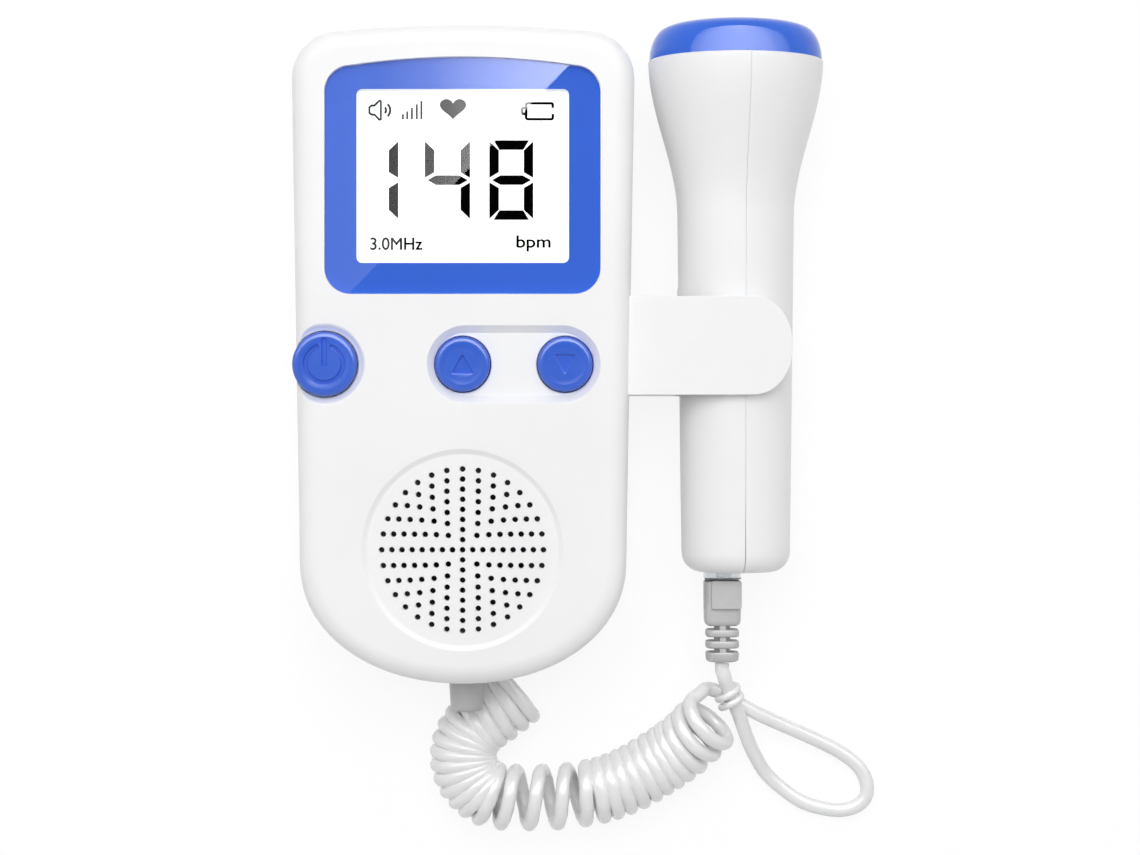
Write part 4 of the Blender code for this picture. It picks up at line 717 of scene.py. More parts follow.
def makeFrontCover():
    part = caseSizes["partLevel"] + caseSizes["partGap"]
    depth, inner, wall = caseSizes["depth"], caseSizes["frontInner"], caseSizes["wall"]
    lip, lipSoft, edge = caseSizes["lip"], caseSizes["lipSoft"], caseSizes["frontEdge"]
    levels = [(wall + caseSizes["draft"], inner), (wall, part), (lip, part), (lipSoft, part + lipSoft),
              (0.0, part + lip), (0.0, depth - edge)]
    levels += [(inset, depth - drop) for inset, drop in quarterRound(edge, 10)]
    cover = raiseOutline("frontCoverShell", [flatRing(caseOutline(inset), level) for inset, level in levels])
    size = keySizes
    row, powerX, recess = size["row"], size["powerX"], size["powerRecess"]
    cupFloor = depth - size["powerDepth"]
    cup = prism("powerCup", circlePoints((powerX, row), recess + size["cupWall"], 64), cupFloor - size["cupWall"],
                inner + past)
    combine(cup, prism("cupBounds", caseOutline(wall / 2), cupFloor - 0.003, depth), "INTERSECT")
    weld(cover, cup)
    opening = roundedRectangle((0, lensMiddle), lensSizes["windowWidth"] + lensSizes["openingGap"],
                               lensSizes["windowHeight"] + lensSizes["openingGap"], lensSizes["windowCorner"])
    powerProfile = [(recess + size["powerLip"][0][0], cupFloor)]
    powerProfile += [(recess + spread, depth - drop) for spread, drop in size["powerLip"]]
    powerProfile += [(recess + size["powerFlare"], depth + hair), (recess + size["powerFlare"], depth + 2 * past)]
    dishFoot, dishRim = speakerSizes["dish"] - speakerSizes["slope"], speakerSizes["dish"]
    dishDepth = speakerSizes["depth"]
    dishProfile = [(dishFoot - 0.0002, depth - dishDepth), (dishFoot + 0.0001, depth - dishDepth + 0.00006),
                   (dishRim - 0.0001, depth - 0.00012), (dishRim + 0.0002, depth + hair),
                   (dishRim + 0.0002, depth + 2 * past)]
    carve(
        cover,
        flaredPrism("lensPocket", lambda inset: lensOutline(inset - lensSizes["pocketGap"]),
                    lensSizes["pocketFloor"], depth, lensSizes["pocketLip"]),
        prism("displayOpening", opening, inner - past, depth),
        flaredPrism("keyRecess", lambda inset: stadiumPoints((size["recessX"], row), size["recessReach"],
                                                             size["recessRadius"] - inset, 28),
                    depth - size["recessDepth"], depth, size["recessLip"], size["recessSlope"]),
        turned("powerRecess", (powerX, row, 0), powerProfile, 96),
        prism("powerStemHole", circlePoints((powerX, row), size["stemHole"], 40), cupFloor - 2 * past, depth),
        turned("speakerDish", (0, speakerSizes["y"], 0), dishProfile, 128),
    )
    hole = size["radius"] + size["holeGap"]
    for x in (size["upX"], size["downX"]):
        carve(cover, flaredPrism("keyHole", lambda inset, x=x: circlePoints((x, row), hole - inset, 64),
                                 inner - past, depth - size["recessDepth"], size["holeLip"]))
    carve(cover, speakerHoles(), passageForRelief("frontRelief"), passageForSocket("frontSocket"))
    return dress(cover, whiteAbsMoulded, "unit", ["front_cover"])


passageSizes = {"relief": (0.0003, 0.0188), "reliefRadius": 0.00405,
                "socket": (-0.01905, 0.0209), "socketRadius": 0.0032}


def passageForRelief(name):
    x, level = passageSizes["relief"]
    radius = passageSizes["reliefRadius"]
    return turned(name, (x, caseBottom, level), [(radius, -past), (radius, 4 * past)], 48, "Y")


def passageForSocket(name):
    radius = passageSizes["socketRadius"]
    centre = (-caseSizes["topWidth"] / 2, *passageSizes["socket"])
    return turned(name, centre, [(radius, -past), (radius, 6 * past)], 40, "X")


# Back cover, with its sloped lower end, the door opening and the screw wells
backSizes = {"doorLow": 0.00545, "doorHalf": 0.0170, "doorGap": 0.0003, "tongue": 0.0013, "tongueHeight": 0.0010,
             "tongueRun": 0.0036, "tongueRoom": 0.0016, "well": 0.0023, "wellDepth": 0.0030, "wellEdge": 0.0003,
             "post": 0.0029, "postDrop": 0.0010}


def tailWedge(name, inset):
    run = caseSizes["tailRun"]
    level = caseSizes["partLevel"]
    lowY = caseBottom + inset * math.hypot(1, run / level)
    reach = run / level * past
    outline = [(lowY + run + reach, -past), (lowY, level), (lowY, level + past),
               (caseBottom - run, level + past), (caseBottom - run, -past)]
    half = caseSizes["topWidth"]
    return raiseOutline(name, [[(x, y, z) for y, z in outline] for x in (-half, half)])


def makeBackCover():
    part = caseSizes["partLevel"] - caseSizes["partGap"]
    floor, wall, edge = caseSizes["backWall"], caseSizes["wall"], caseSizes["backEdge"]
    levels = list(reversed(quarterRound(edge, 8)))
    levels += [(0.0, edge), (0.0, part - caseSizes["lip"]), (caseSizes["lipSoft"], part - caseSizes["lipSoft"]),
               (caseSizes["lip"], part)]
    cover = raiseOutline("backCoverShell", [flatRing(caseOutline(inset), level) for inset, level in levels])
    carve(cover, tailWedge("tailSlope", 0.0))
    softenEdges(cover, 0.0006, 3, 28)
    levels = [(wall + caseSizes["draft"], floor), (wall, floor + wall), (wall, part + past)]
    hollow = raiseOutline("backHollow", [flatRing(caseOutline(inset), level) for inset, level in levels])
    carve(hollow, tailWedge("tailSlopeInner", wall))
    carve(cover, hollow)
    size = backSizes
    wellProfile = [(size["well"] + size["wellEdge"], -past), (size["well"] + size["wellEdge"], -hair),
                   (size["well"], size["wellEdge"]), (size["well"], size["wellDepth"])]
    for place, (x, y) in enumerate(screwPlaces):
        weld(cover, prism(f"post{place}", circlePoints((x, y), size["post"], 32), floor / 2, part - size["postDrop"]))
        carve(cover, turned(f"well{place}", (x, y, 0), wellProfile, 40))
    half = size["doorHalf"] + size["doorGap"]
    door = blockOf("doorOpening", (-half, size["doorLow"] - size["doorGap"], -past),
                   (half, caseTop + past, floor + past))
    tongue = half + size["tongue"]
    ends = blockOf("doorEndOpening", (-tongue, caseTop - wall - size["tongueRun"], floor),
                   (tongue, caseTop + past, floor + size["tongueRoom"]))
    carve(cover, door, ends, passageForRelief("backRelief"), passageForSocket("backSocket"))
    return dress(cover, whiteAbsMoulded, "unit", ["back_cover"])


# Battery door, slid in from the display end
doorSizes = {
    "lift": 0.0002, "topLevel": 0.0027, "tongueFrom": 0.0020, "gripWidth": 0.0160, "gripThick": 0.0011,
    "gripCorner": 0.0004, "gripStart": 0.0050, "gripPitch": 0.0022, "bars": 6,
    "gripFlare": ((0.0004, -0.0010), (0.0004, 0.00019), (0.0001, 0.0004), (-0.0001, 0.0007)),
}


def makeBatteryDoor():
    half, low = backSizes["doorHalf"], backSizes["doorLow"]
    high = doorSizes["topLevel"] + backSizes["tongueHeight"]
    door = blockOf("batteryDoorPanel", (-half, low, doorSizes["lift"]), (half, caseTop + past, high))
    for place in range(doorSizes["bars"]):
        middle = (0, low + doorSizes["gripStart"] + place * doorSizes["gripPitch"])
        rings = []
        for spread, level in doorSizes["gripFlare"]:
            width, thick = doorSizes["gripWidth"] + 2 * spread, doorSizes["gripThick"] + 2 * spread
            rings.append(flatRing(roundedRectangle(middle, width, thick, doorSizes["gripCorner"]), level))
        carve(door, raiseOutline(f"grip{place}", rings))
    tongue = half + backSizes["tongue"]
    weld(door, blockOf("doorTongues", (-tongue, low + doorSizes["tongueFrom"], doorSizes["topLevel"]),
                       (tongue, caseTop + 0.0009, high - hair)))
    combine(door, prism("doorBounds", caseOutline(), -past, caseSizes["partLevel"]), "INTERSECT")
    softenEdges(door, 0.0003, 3, 40)
    return dress(door, whiteAbsMoulded, "battery_door", ["battery_door"])


# Case screws with a crossed recess
screwSizes = {"head": 0.0020, "headLow": 0.0012, "headHigh": 0.0027, "shank": 0.0010, "tip": 0.0260, "point": 0.0003,
              "slot": 0.0005, "slotReach": 0.0013, "slotDepth": 0.0009, "turn": 31}


def makeScrews():
    x, y = screwPlaces[0]
    head, low, high, shank = (screwSizes[part] for part in ("head", "headLow", "headHigh", "shank"))
    screw = turned("caseScrew1", (x, y, 0), [
        (head * 0.55, low), (head * 0.85, low + 0.00012), (head * 0.98, low + 0.0004), (head, low + 0.0007),
        (head, high), (shank, high), (shank, screwSizes["tip"] - 0.002), (screwSizes["point"], screwSizes["tip"]),
    ], 40)
    wide, narrow, deep = screwSizes["slotReach"], screwSizes["slot"] / 2, screwSizes["slotDepth"]
    cross = blockOf("crossSlot", (x - wide, y - narrow, low - past), (x + wide, y + narrow, low + deep))
    weld(cross, blockOf("crossSlotTwo", (x - narrow, y - wide, low - 0.0009),
                        (x + narrow, y + wide, low + deep - hair)))
    carve(screw, cross)
    softenEdges(screw, 0.00006, 2, 40)
    screws = [screw]
    for place, (otherX, otherY) in enumerate(screwPlaces[1:], 2):
        copied = duplicateOf(screw, f"caseScrew{place}")
        turn = Matrix.Rotation(math.radians(screwSizes["turn"] * place), 4, "Z")
        copied.data.transform(Matrix.Translation((otherX, otherY, 0)) @ turn @ Matrix.Translation((-x, -y, 0)))
        screws.append(copied)
    for place, item in enumerate(screws, 1):
        dress(item, nickelPlatedSteel, "unit", [f"case_screw_{place}"])


# Display: clear lens, printed mask, liquid crystal and its symbols
def makeDisplay():
    size = lensSizes
    back, face, edge = size["back"], size["face"], size["edge"]
    levels = [(0.0001, back), (0.0, back + 0.0001), (0.0, face - edge), (edge * 0.3, face - edge * 0.3), (edge, face)]
    lens = raiseOutline("displayLensSheet", [flatRing(lensOutline(inset), level) for inset, level in levels])
    dress(lens, clearAcrylicPolished, "unit", ["display_lens"])
    mask = prism("displayMaskFilm", lensOutline(size["maskGap"]), size["maskBack"], size["maskFace"])
    window = roundedRectangle((0, lensMiddle), size["windowWidth"], size["windowHeight"], size["windowCorner"], 8)
    carve(mask, prism("maskWindow", window, size["maskBack"] - past, size["maskFace"] + past))
    dress(mask, blueFilmPrinted, "unit", ["display_mask"])
    halfX = size["windowWidth"] / 2 + size["lcdSide"]
    halfY = size["windowHeight"] / 2 + size["lcdEnd"]
    panel = blockOf("lcdPanel", (-halfX, lensMiddle - halfY, size["lcdBack"]),
                    (halfX, lensMiddle + halfY, size["lcdFace"]))
    softenEdges(panel, 0.00015, 2, 40)
    dress(panel, whiteLcdPolariserPaintedGlow, "unit", ["lcd_glass"])


# Symbols on the display, by their columns and rows in the photograph
symbolSizes = {
    "lift": 0.00002, "thick": 0.00005, "pixel": 0.0002048, "digitTop": 140.4, "digitFoot": 219.8,
    "one": (378.0, 398.2), "four": (424.9, 470.0), "eight": (489.4, 533.2),
    "stroke": 9.4, "gap": 1.0, "endTuck": 3.2, "slit": 2.3, "slitSlant": 5.6,
    "bars": ((402.9, 114.2), (407.2, 111.3), (411.9, 107.7), (416.8, 104.2), (421.4, 100.8)),
    "barFoot": 119.3, "barWidth": 2.0, "heart": (453.0, 109.6, 26.6, 21.4), "line": 2.3, "heavyLine": 2.645,
    "horn": ((369.4, 107.2), (371.6, 105.6), (374.4, 105.6), (379.4, 100.6), (380.9, 101.2), (380.9, 119.2),
             (379.4, 119.8), (374.4, 114.6), (371.6, 114.6), (369.4, 113.0)),
    "waveCentre": (381.6, 110.2), "waves": ((4.4, 42), (8.6, 46)), "battery": (526.2, 103.3, 552.8, 119.2),
    "frequency": (370.2, 237.4, 422.6, 250.0), "unitWords": (516.4, 235.4, 550.6, 251.6),
}


def symbolPlate(name, outline):
    level = lensSizes["lcdFace"] + symbolSizes["lift"]
    points = [fromPhoto(column, row, level) for column, row in outline]
    return prism(name, points, level, level + symbolSizes["thick"])


def symbolLine(name, outline, width, closed=False):
    level = lensSizes["lcdFace"] + symbolSizes["lift"]
    points = [(*fromPhoto(column, row, level), 0.0) for column, row in outline]
    item = meshOf(drawnLine(name, points, width / 2 * symbolSizes["pixel"], 1, closed))
    for vertex in item.data.vertices:
        vertex.co.z = level + (symbolSizes["thick"] if vertex.co.z > 0 else 0.0)
    return item


def segmentOutlines(left, right):
    # The upper and upper left segments are drawn, and mirrored to the other outer ones.
    top, foot, stroke, gap = (symbolSizes[part] for part in ("digitTop", "digitFoot", "stroke", "gap"))
    tuck, slit, slant = (symbolSizes[part] for part in ("endTuck", "slit", "slitSlant"))
    middle, joint = (top + foot) / 2, stroke + gap * 0.6
    upper = [(left + gap + tuck, top), (right - gap - tuck, top), (right - joint, top + stroke),
             (left + joint, top + stroke)]
    side = [(left, top + gap), (left + stroke, top + joint), (left + stroke, middle - slit - slant),
            (left, middle - slit)]

    def flipped(outline):
        return [(x, top + foot - y) for x, y in outline]

    def across(outline):
        return [(left + right - x, y) for x, y in outline]

    waist = [(left + 2.6, middle), (left + stroke + 1.6, middle - 4.7), (right - stroke - 1.2, middle - 4.7),
             (right - 2.2, middle), (right - stroke - 1.2, middle + 4.7), (left + stroke + 1.6, middle + 4.7)]
    return {"a": upper, "b": across(side), "c": across(flipped(side)), "d": flipped(upper), "e": flipped(side),
            "f": side, "g": waist}


def heartOutline():
    middleX, middleY, width, height = symbolSizes["heart"]
    points = []
    for place in range(48):
        t = 2 * math.pi * place / 48
        x = 16 * math.sin(t) ** 3
        y = 13 * math.cos(t) - 5 * math.cos(2 * t) - 2 * math.cos(3 * t) - math.cos(4 * t)
        points.append((middleX + x / 32 * width, middleY - (y + 2.5) / 29 * height))
    return points


def wordPlate(name, words, box):
    deselectAll()
    bpy.ops.object.text_add()
    text = bpy.context.object
    text.data.body = words
    text.data.extrude = 0.01
    text.data.bevel_depth = 0.014
    text.data.bevel_resolution = 0
    text.name = name
    item = meshOf(text)
    level = lensSizes["lcdFace"] + symbolSizes["lift"]
    left, top = fromPhoto(box[0], box[1], level)
    right, foot = fromPhoto(box[2], box[3], level)
    xs = [vertex.co.x for vertex in item.data.vertices]
    ys = [vertex.co.y for vertex in item.data.vertices]
    for vertex in item.data.vertices:
        vertex.co.x = left + (vertex.co.x - min(xs)) / (max(xs) - min(xs)) * (right - left)
        vertex.co.y = foot + (vertex.co.y - min(ys)) / (max(ys) - min(ys)) * (top - foot)
        vertex.co.z = level + (symbolSizes["thick"] if vertex.co.z > 0 else 0.0)
    return item


def makeSymbols():
    size = symbolSizes
    dark = []
    for name, letters in (("one", "bc"), ("four", "bcfg"), ("eight", "abcdefg")):
        outlines = segmentOutlines(*size[name])
        dark += [symbolPlate(f"{name}{letter}", outlines[letter]) for letter in letters]
    half, barFoot = size["barWidth"] / 2, size["barFoot"]
    for place, (column, top) in enumerate(size["bars"]):
        bar = [(column - half, top), (column - half, barFoot), (column + half, barFoot), (column + half, top)]
        dark.append(symbolPlate(f"bar{place}", bar))
    dark.append(symbolPlate("heart", heartOutline()))
    dark.append(symbolLine("horn", size["horn"], size["line"], True))
    for reach, spread in size["waves"]:
        wave = arcPoints(size["waveCentre"], reach, math.radians(-spread), math.radians(spread), 12)
        dark.append(symbolLine(f"wave{reach}", wave, size["line"]))
    left, top, right, foot = size["battery"]
    cell = {
        "cellUpper": [(left - 0.2, 106.6), (left, top + 1), (left + 1.2, top), (right - 1, top), (right, top + 1),
                      (right, top + 4.6)],
        "cellLower": [(left - 0.2, 115.6), (left, foot - 1), (left + 1.2, foot), (right - 1, foot), (right, foot - 1),
                      (right, foot - 5.4)],
        "cellNub": [(left, 108.2), (left - 3.4, 108.2), (left - 4.0, 109.0), (left - 4.0, 113.0), (left - 3.4, 113.8),
                    (left, 113.8)],
        "cellSide": [(left, 106.2), (left, 116)],
    }
    dark += [symbolLine(name, points, size["heavyLine"]) for name, points in cell.items()]
    dark.append(wordPlate("frequencyWords", "3.0MHz", size["frequency"]))
    dark.append(wordPlate("unitWords", "bpm", size["unitWords"]))
    dress(joinAll("lcdSymbols", dark), blackLcdSegment, "unit")


# Keys, with a rounded rim, a shallow dish and an engraved sign
def engraver(name, outlineAt, face):
    deep = face - keySizes["engraved"]
    return raiseOutline(name, [flatRing(outlineAt(0.00006), deep), flatRing(outlineAt(0.0), deep + 0.00005),
                               flatRing(outlineAt(0.0), face - 0.00012), flatRing(outlineAt(-0.00014), face + 0.00004),
                               flatRing(outlineAt(-0.00014), face + 2 * past)])


def keyProfile(radius, top, edge, rim, sink):
    # The rounded shoulder, and the rim that dips into the dish.
    shoulder = [(radius - inset, top - drop) for inset, drop in quarterRound(edge, 7)]
    return shoulder + [(radius - edge - rim, top - sink), (radius - edge - rim - 0.0008, top - keySizes["dish"])]


def makeKeys():
    size = keySizes
    row, top, radius, stem, thick = (size[part] for part in ("row", "top", "radius", "stem", "flangeThick"))
    low = caseSizes["frontInner"] - caseSizes["gap"] - thick
    flange = radius + size["flange"]
    face = top - size["dish"]
    for name, node, x, up in (("upKeyCap", "up_key", size["upX"], 1), ("downKeyCap", "down_key", size["downX"], -1)):
        profile = [(stem, size["stemLow"]), (stem, low), (flange, low), (flange, low + thick), (radius, low + thick),
                   (radius, top - size["edge"])]
        profile += keyProfile(radius, top, size["edge"], 0.0006, 0.00004)
        key = turned(name, (x, row, 0), profile, 96)

        def arrowAt(inset, x=x, up=up):
            half, tall = 0.0022 - inset * 1.6, 0.0020 - inset
            corners = [(x - half, row - up * tall), (x + half, row - up * tall),
                       (x, row + up * (tall + 0.0001 - inset * 0.6))]
            if up < 0:
                corners.reverse()
            return roundedPolygon(corners, 0.00025)

        carve(key, engraver(f"{name}Arrow", arrowAt, face))
        dress(key, blueAbsMoulded, node, [node], angle=40)
    makePowerKey()


def makePowerKey():
    size = keySizes
    x, row, stem, thick = (size[part] for part in ("powerX", "row", "stem", "flangeThick"))
    radius, top, edge = size["powerRadius"], size["powerTop"], size["powerEdge"]
    cupFloor = caseSizes["depth"] - size["powerDepth"]
    capLow = cupFloor + 0.0011
    neckLow = cupFloor - size["cupWall"] - caseSizes["gap"] - thick
    profile = [(stem, size["stemLow"]), (stem, neckLow), (0.0035, neckLow), (0.0035, neckLow + thick),
               (0.0029, neckLow + thick), (0.0029, capLow), (radius - 0.0003, capLow), (radius, capLow + 0.0003),
               (radius, top - edge)]
    key = turned("powerKeyCap", (x, row, 0), profile + keyProfile(radius, top, edge, 0.0005, 0.00002), 112)
    face = top - size["dish"]
    openHalf = math.radians(23)

    def ringAt(inset):
        outer, inner = 0.0042 - inset, 0.0034 + inset
        middle = (outer + inner) / 2
        half = (outer - inner) / 2
        start, end = math.pi / 2 + openHalf, 2.5 * math.pi - openHalf
        points = arcPoints((x, row), outer, start, end, 72)
        tip = (x + middle * math.cos(end), row + middle * math.sin(end))
        points += arcPoints(tip, half, end, end + math.pi, 8)[1:-1]
        points += arcPoints((x, row), inner, end, start, 72)
        tip = (x + middle * math.cos(start), row + middle * math.sin(start))
        points += arcPoints(tip, half, start + math.pi, start + 2 * math.pi, 8)[1:-1]
        return points

    def barAt(inset):
        half = 0.00048 - inset
        return (arcPoints((x, row), half, math.pi, 2 * math.pi, 10)
                + arcPoints((x, row + 0.0048), half, 0, math.pi, 10))

    carve(key, engraver("powerRing", ringAt, face), engraver("powerBar", barAt, face))
    dress(key, blueAbsMoulded, "power_key", ["power_key"], angle=40)


for stage, make in (("front cover", makeFrontCover), ("back cover", makeBackCover), ("battery door", makeBatteryDoor),
                    ("screws", makeScrews), ("display", makeDisplay), ("symbols", makeSymbols), ("keys", makeKeys)):
    make()
    print(f"{stage} done")


# Strain relief of the cord
reliefProfile = [(0.0018, -0.0069), (0.0025, -0.00685), (0.0030, -0.0065), (0.0033, -0.0060), (0.00342, -0.0054),
                 (0.00352, -0.0040), (0.00375, 0.0), (0.00375, 0.0026), (0.0052, 0.0026), (0.0052, 0.0042)]


def makeRelief():
    x, level = passageSizes["relief"]
    relief = turned("cordReliefBoot", (x, caseBottom, level), reliefProfile, 72, "Y")
    dress(relief, greyPvcMoulded, "unit", ["cord_relief"], angle=50)


# Probe holder: a clip of one thickness, rounded at its free ends
holderSizes = {"startX": 0.0337, "endX": 0.0675, "low": -0.00825, "high": 0.01195, "webX": 0.0441, "top": 0.0329,
               "floor": 0.0043, "arm": 0.0018, "throat": 0.0022, "corner": 0.0084, "soft": 0.0006}


def makeHolder():
    size = holderSizes
    start, end, web, floor, top = (size[part] for part in ("startX", "endX", "webX", "floor", "top"))
    arm, throat = size["arm"], size["throat"]
    profile = [(start, floor), (end, floor), (end, floor + arm), (web + throat, floor + arm),
               (web, floor + arm + throat), (web, top - arm - throat), (web + throat, top - arm), (end, top - arm),
               (end, top), (start, top)]
    low, high, radius = size["low"], size["high"], size["corner"]
    holder = raiseOutline("probeHolderClip", [[(x, y, z) for x, z in profile] for y in (low, high)])
    middle, half = (low + high) / 2, (high - low) / 2
    outline = []
    for step in range(37):  # a slightly squared half round
        angle = math.pi * (step / 36 - 0.5)
        across = math.copysign(abs(math.sin(angle)) ** 0.96, angle)
        outline.append((end - radius + radius * max(math.cos(angle), 0.0) ** 0.92, middle + half * across))
    outline += [(start - past, high), (start - past, low)]
    combine(holder, prism("holderPlan", outline, floor - past, top + past), "INTERSECT")
    softenEdges(holder, size["soft"], 4, 40)
    # A thin ledge runs out of the lower arm beside the web.
    cradle = blockOf("holderCradle", (web + 0.0008, middle, floor + 0.0003),
                     (web + 0.0122, high + 0.0030, floor + arm - 0.00015))
    softenEdges(cradle, 0.0004, 3, 40)
    weld(holder, cradle)
    dress(holder, whiteAbsMoulded, "unit", ["probe_holder"])


# Probe: two shells meeting at a seam, and the cap over the transducer
probeSizes = {"x": 0.0566, "low": -0.04515, "level": 0.0186, "end": 0.01135, "neck": 0.0122, "head": 0.0183,
              "endRound": 0.0042, "flareStart": 0.0745, "flareEnd": 0.1069, "wall": 0.0016, "split": math.radians(6.9),
              "seam": 0.00002, "length": 0.1160, "capWall": 0.0027, "capRoof": 0.0029,
              "mouthLow": (-0.0071, -0.001, -0.0059), "mouthHigh": (0.0017, 0.0032, 0.0039),
              "capCrown": ((0.0002, 0.0), (0.00035, 0.0018), (0.0010, 0.0040), (0.0023, 0.0059), (0.0043, 0.0069),
                           (0.0070, 0.0074), (0.0119, 0.0080), (0.0183, 0.0088))}


def probeRadius(height):
    size = probeSizes
    radius = size["end"] + (size["neck"] - size["end"]) * min(height / size["flareStart"], 1.0)
    if height > size["flareStart"]:
        share = min((height - size["flareStart"]) / (size["flareEnd"] - size["flareStart"]), 1.0)
        radius = size["neck"] + (size["head"] - size["neck"]) * share * share * (3 - 2 * share)
    return radius


def makeProbe():
    size = probeSizes
    centre = Vector((size["x"], size["low"], size["level"]))
    end, edge, wall, head = (size[part] for part in ("end", "endRound", "wall", "head"))
    start, top = size["flareStart"], size["flareEnd"]
    profile = [(end - inset, drop) for inset, drop in reversed(quarterRound(edge, 10))] + [(end, edge)]
    heights = [edge + (start - edge) * step / 6 for step in range(1, 7)]
    heights += [start + (top - start) * step / 20 for step in range(1, 20)]
    profile += [(probeRadius(height), height) for height in heights]
    profile += [(head, top - 0.0004), (head - 0.00008, top - 0.00015), (head - 0.00030, top), (head - wall, top)]
    heights = [top - 0.0032 - (top - start) * step / 8 for step in range(8)]
    profile += [(probeRadius(height) - wall, height) for height in heights]
    profile += [(end - wall, edge), (end - wall, wall)]
    whole = turned("probeShellLeftHalf", centre, profile, 96, "Y")
    carve(whole, blockOf("plugMouth", centre + Vector(size["mouthLow"]), centre + Vector(size["mouthHigh"])))
    other = duplicateOf(whole, "probeShellRightHalf")
    across = Vector((math.cos(size["split"]), 0, -math.sin(size["split"])))
    for item, side, node in ((whole, -1, "probe_shell_left"), (other, 1, "probe_shell_right")):
        pickOnly(item)
        bpy.ops.object.mode_set(mode="EDIT")
        bpy.ops.mesh.select_all(action="SELECT")
        bpy.ops.mesh.bisect(plane_co=centre + across * side * size["seam"], plane_no=across * side,
                            use_fill=True, clear_inner=True)
        bpy.ops.mesh.select_all(action="SELECT")
        bpy.ops.mesh.normals_make_consistent(inside=False)
        bpy.ops.object.mode_set(mode="OBJECT")
        softenEdges(item, 0.00014, 2, 50)
        dress(item, whiteAbsMoulded, "probe", [node])
    makeCap(centre)


def makeCap(centre):
    size = probeSizes
    base, top = size["flareEnd"] - 2 * hair, size["length"]
    inner = size["head"] - size["capWall"]
    crown = smoothLine([(inset, height, 0) for inset, height in size["capCrown"]], 0.0006)
    rise = (top - base) / size["capCrown"][-1][1]
    profile = [(inner, top - size["capRoof"]), (inner, base)]
    profile += [(size["head"] - point.x, base + point.y * rise) for point in crown[:-1]]
    cap = turned("transducerCapFace", centre, profile, 96, "Y")
    dress(cap, blueAbsPolished, "probe", ["transducer_cap"], angle=45)


# Modular plug: clear body with its contacts, latch and the ribbed boot behind it
plugSizes = {"x": 0.0539, "level": 0.0164, "top": -0.04705, "width": 0.00765, "height": 0.0062, "length": 0.0112,
             "boot": 0.0077, "block": 0.0095, "rib": 0.0070, "ribLength": 0.0016, "lastRib": 0.0022, "slot": 0.00076,
             "core": 0.0017, "web": 0.0013, "panelWidth": 0.0063, "panelLength": 0.0058, "panelShift": 0.0007,
             "panelHeight": 0.0009, "contacts": 4, "contactPitch": 0.00102, "latchWidth": 0.0032, "latchThick": 0.0004,
             "latchLift": 0.0013}


def alongPlug(name, outlineAt, levels):
    # Outlines across the plug, at these places down the cord.
    x, z = plugSizes["x"], plugSizes["level"]
    return raiseOutline(name, [[(x + side, y, z + up) for side, up in outlineAt(inset)] for y, inset in levels])


def squareAt(width, height, corner):
    return lambda inset: roundedRectangle((0, 0), width - 2 * inset, height - 2 * inset, corner)


def makePlug():
    size = plugSizes
    low, high = size["top"] + 0.0003, size["top"] + size["length"]
    level, foot = size["level"], size["level"] - size["height"] / 2
    body = alongPlug("plugBodyClear", squareAt(size["width"], size["height"], 0.0006),
                     [(low, 0.0001), (low + 0.0001, 0.0), (high - 0.0004, 0.0), (high, 0.0004)])
    firstX = size["x"] - (size["contacts"] - 1) / 2 * size["contactPitch"]
    middles = [firstX + place * size["contactPitch"] for place in range(size["contacts"])]
    for x in middles:
        carve(body, blockOf("contactSlot", (x - 0.00025, high - 0.0042, foot - past),
                            (x + 0.00025, high + past, level - 0.0008)))
    dress(body, clearPolycarbonateMoulded, "lead", ["plug_body"])
    contacts = []
    for place, x in enumerate(middles):
        contacts.append(blockOf(f"contact{place}", (x - 0.00018, high - 0.0040, foot + 0.0004),
                                (x + 0.00018, high - 0.0004, level - 0.0010)))
        softenEdges(contacts[-1], 0.00008, 2, 40)
    dress(joinAll("plugContacts", contacts), goldPlatedBrass, "lead")
    thick, half = size["latchThick"], size["latchWidth"] / 2
    hingeY, hingeZ = high - 0.0008, level + size["height"] / 2 + 0.0003 + thick
    tail = low + 0.0003 - hingeY
    spine = [(tail * share, size["latchLift"] * share ** 1.2) for share in (0.2, 0.4, 0.6, 0.8, 1.0)]
    outline = [(0.0004, -thick), (0.0004, thick)] + [(y, z + thick) for y, z in spine]
    outline += [(y, z - thick) for y, z in reversed(spine)]
    latch = raiseOutline("plugLatchBlade", [[(size["x"] + side, hingeY + y, hingeZ + z) for y, z in outline]
                                            for side in (-half, half)])
    softenEdges(latch, 0.00018, 3, 40)
    dress(latch, clearPolycarbonateMoulded, "plug_latch", ["plug_latch"])


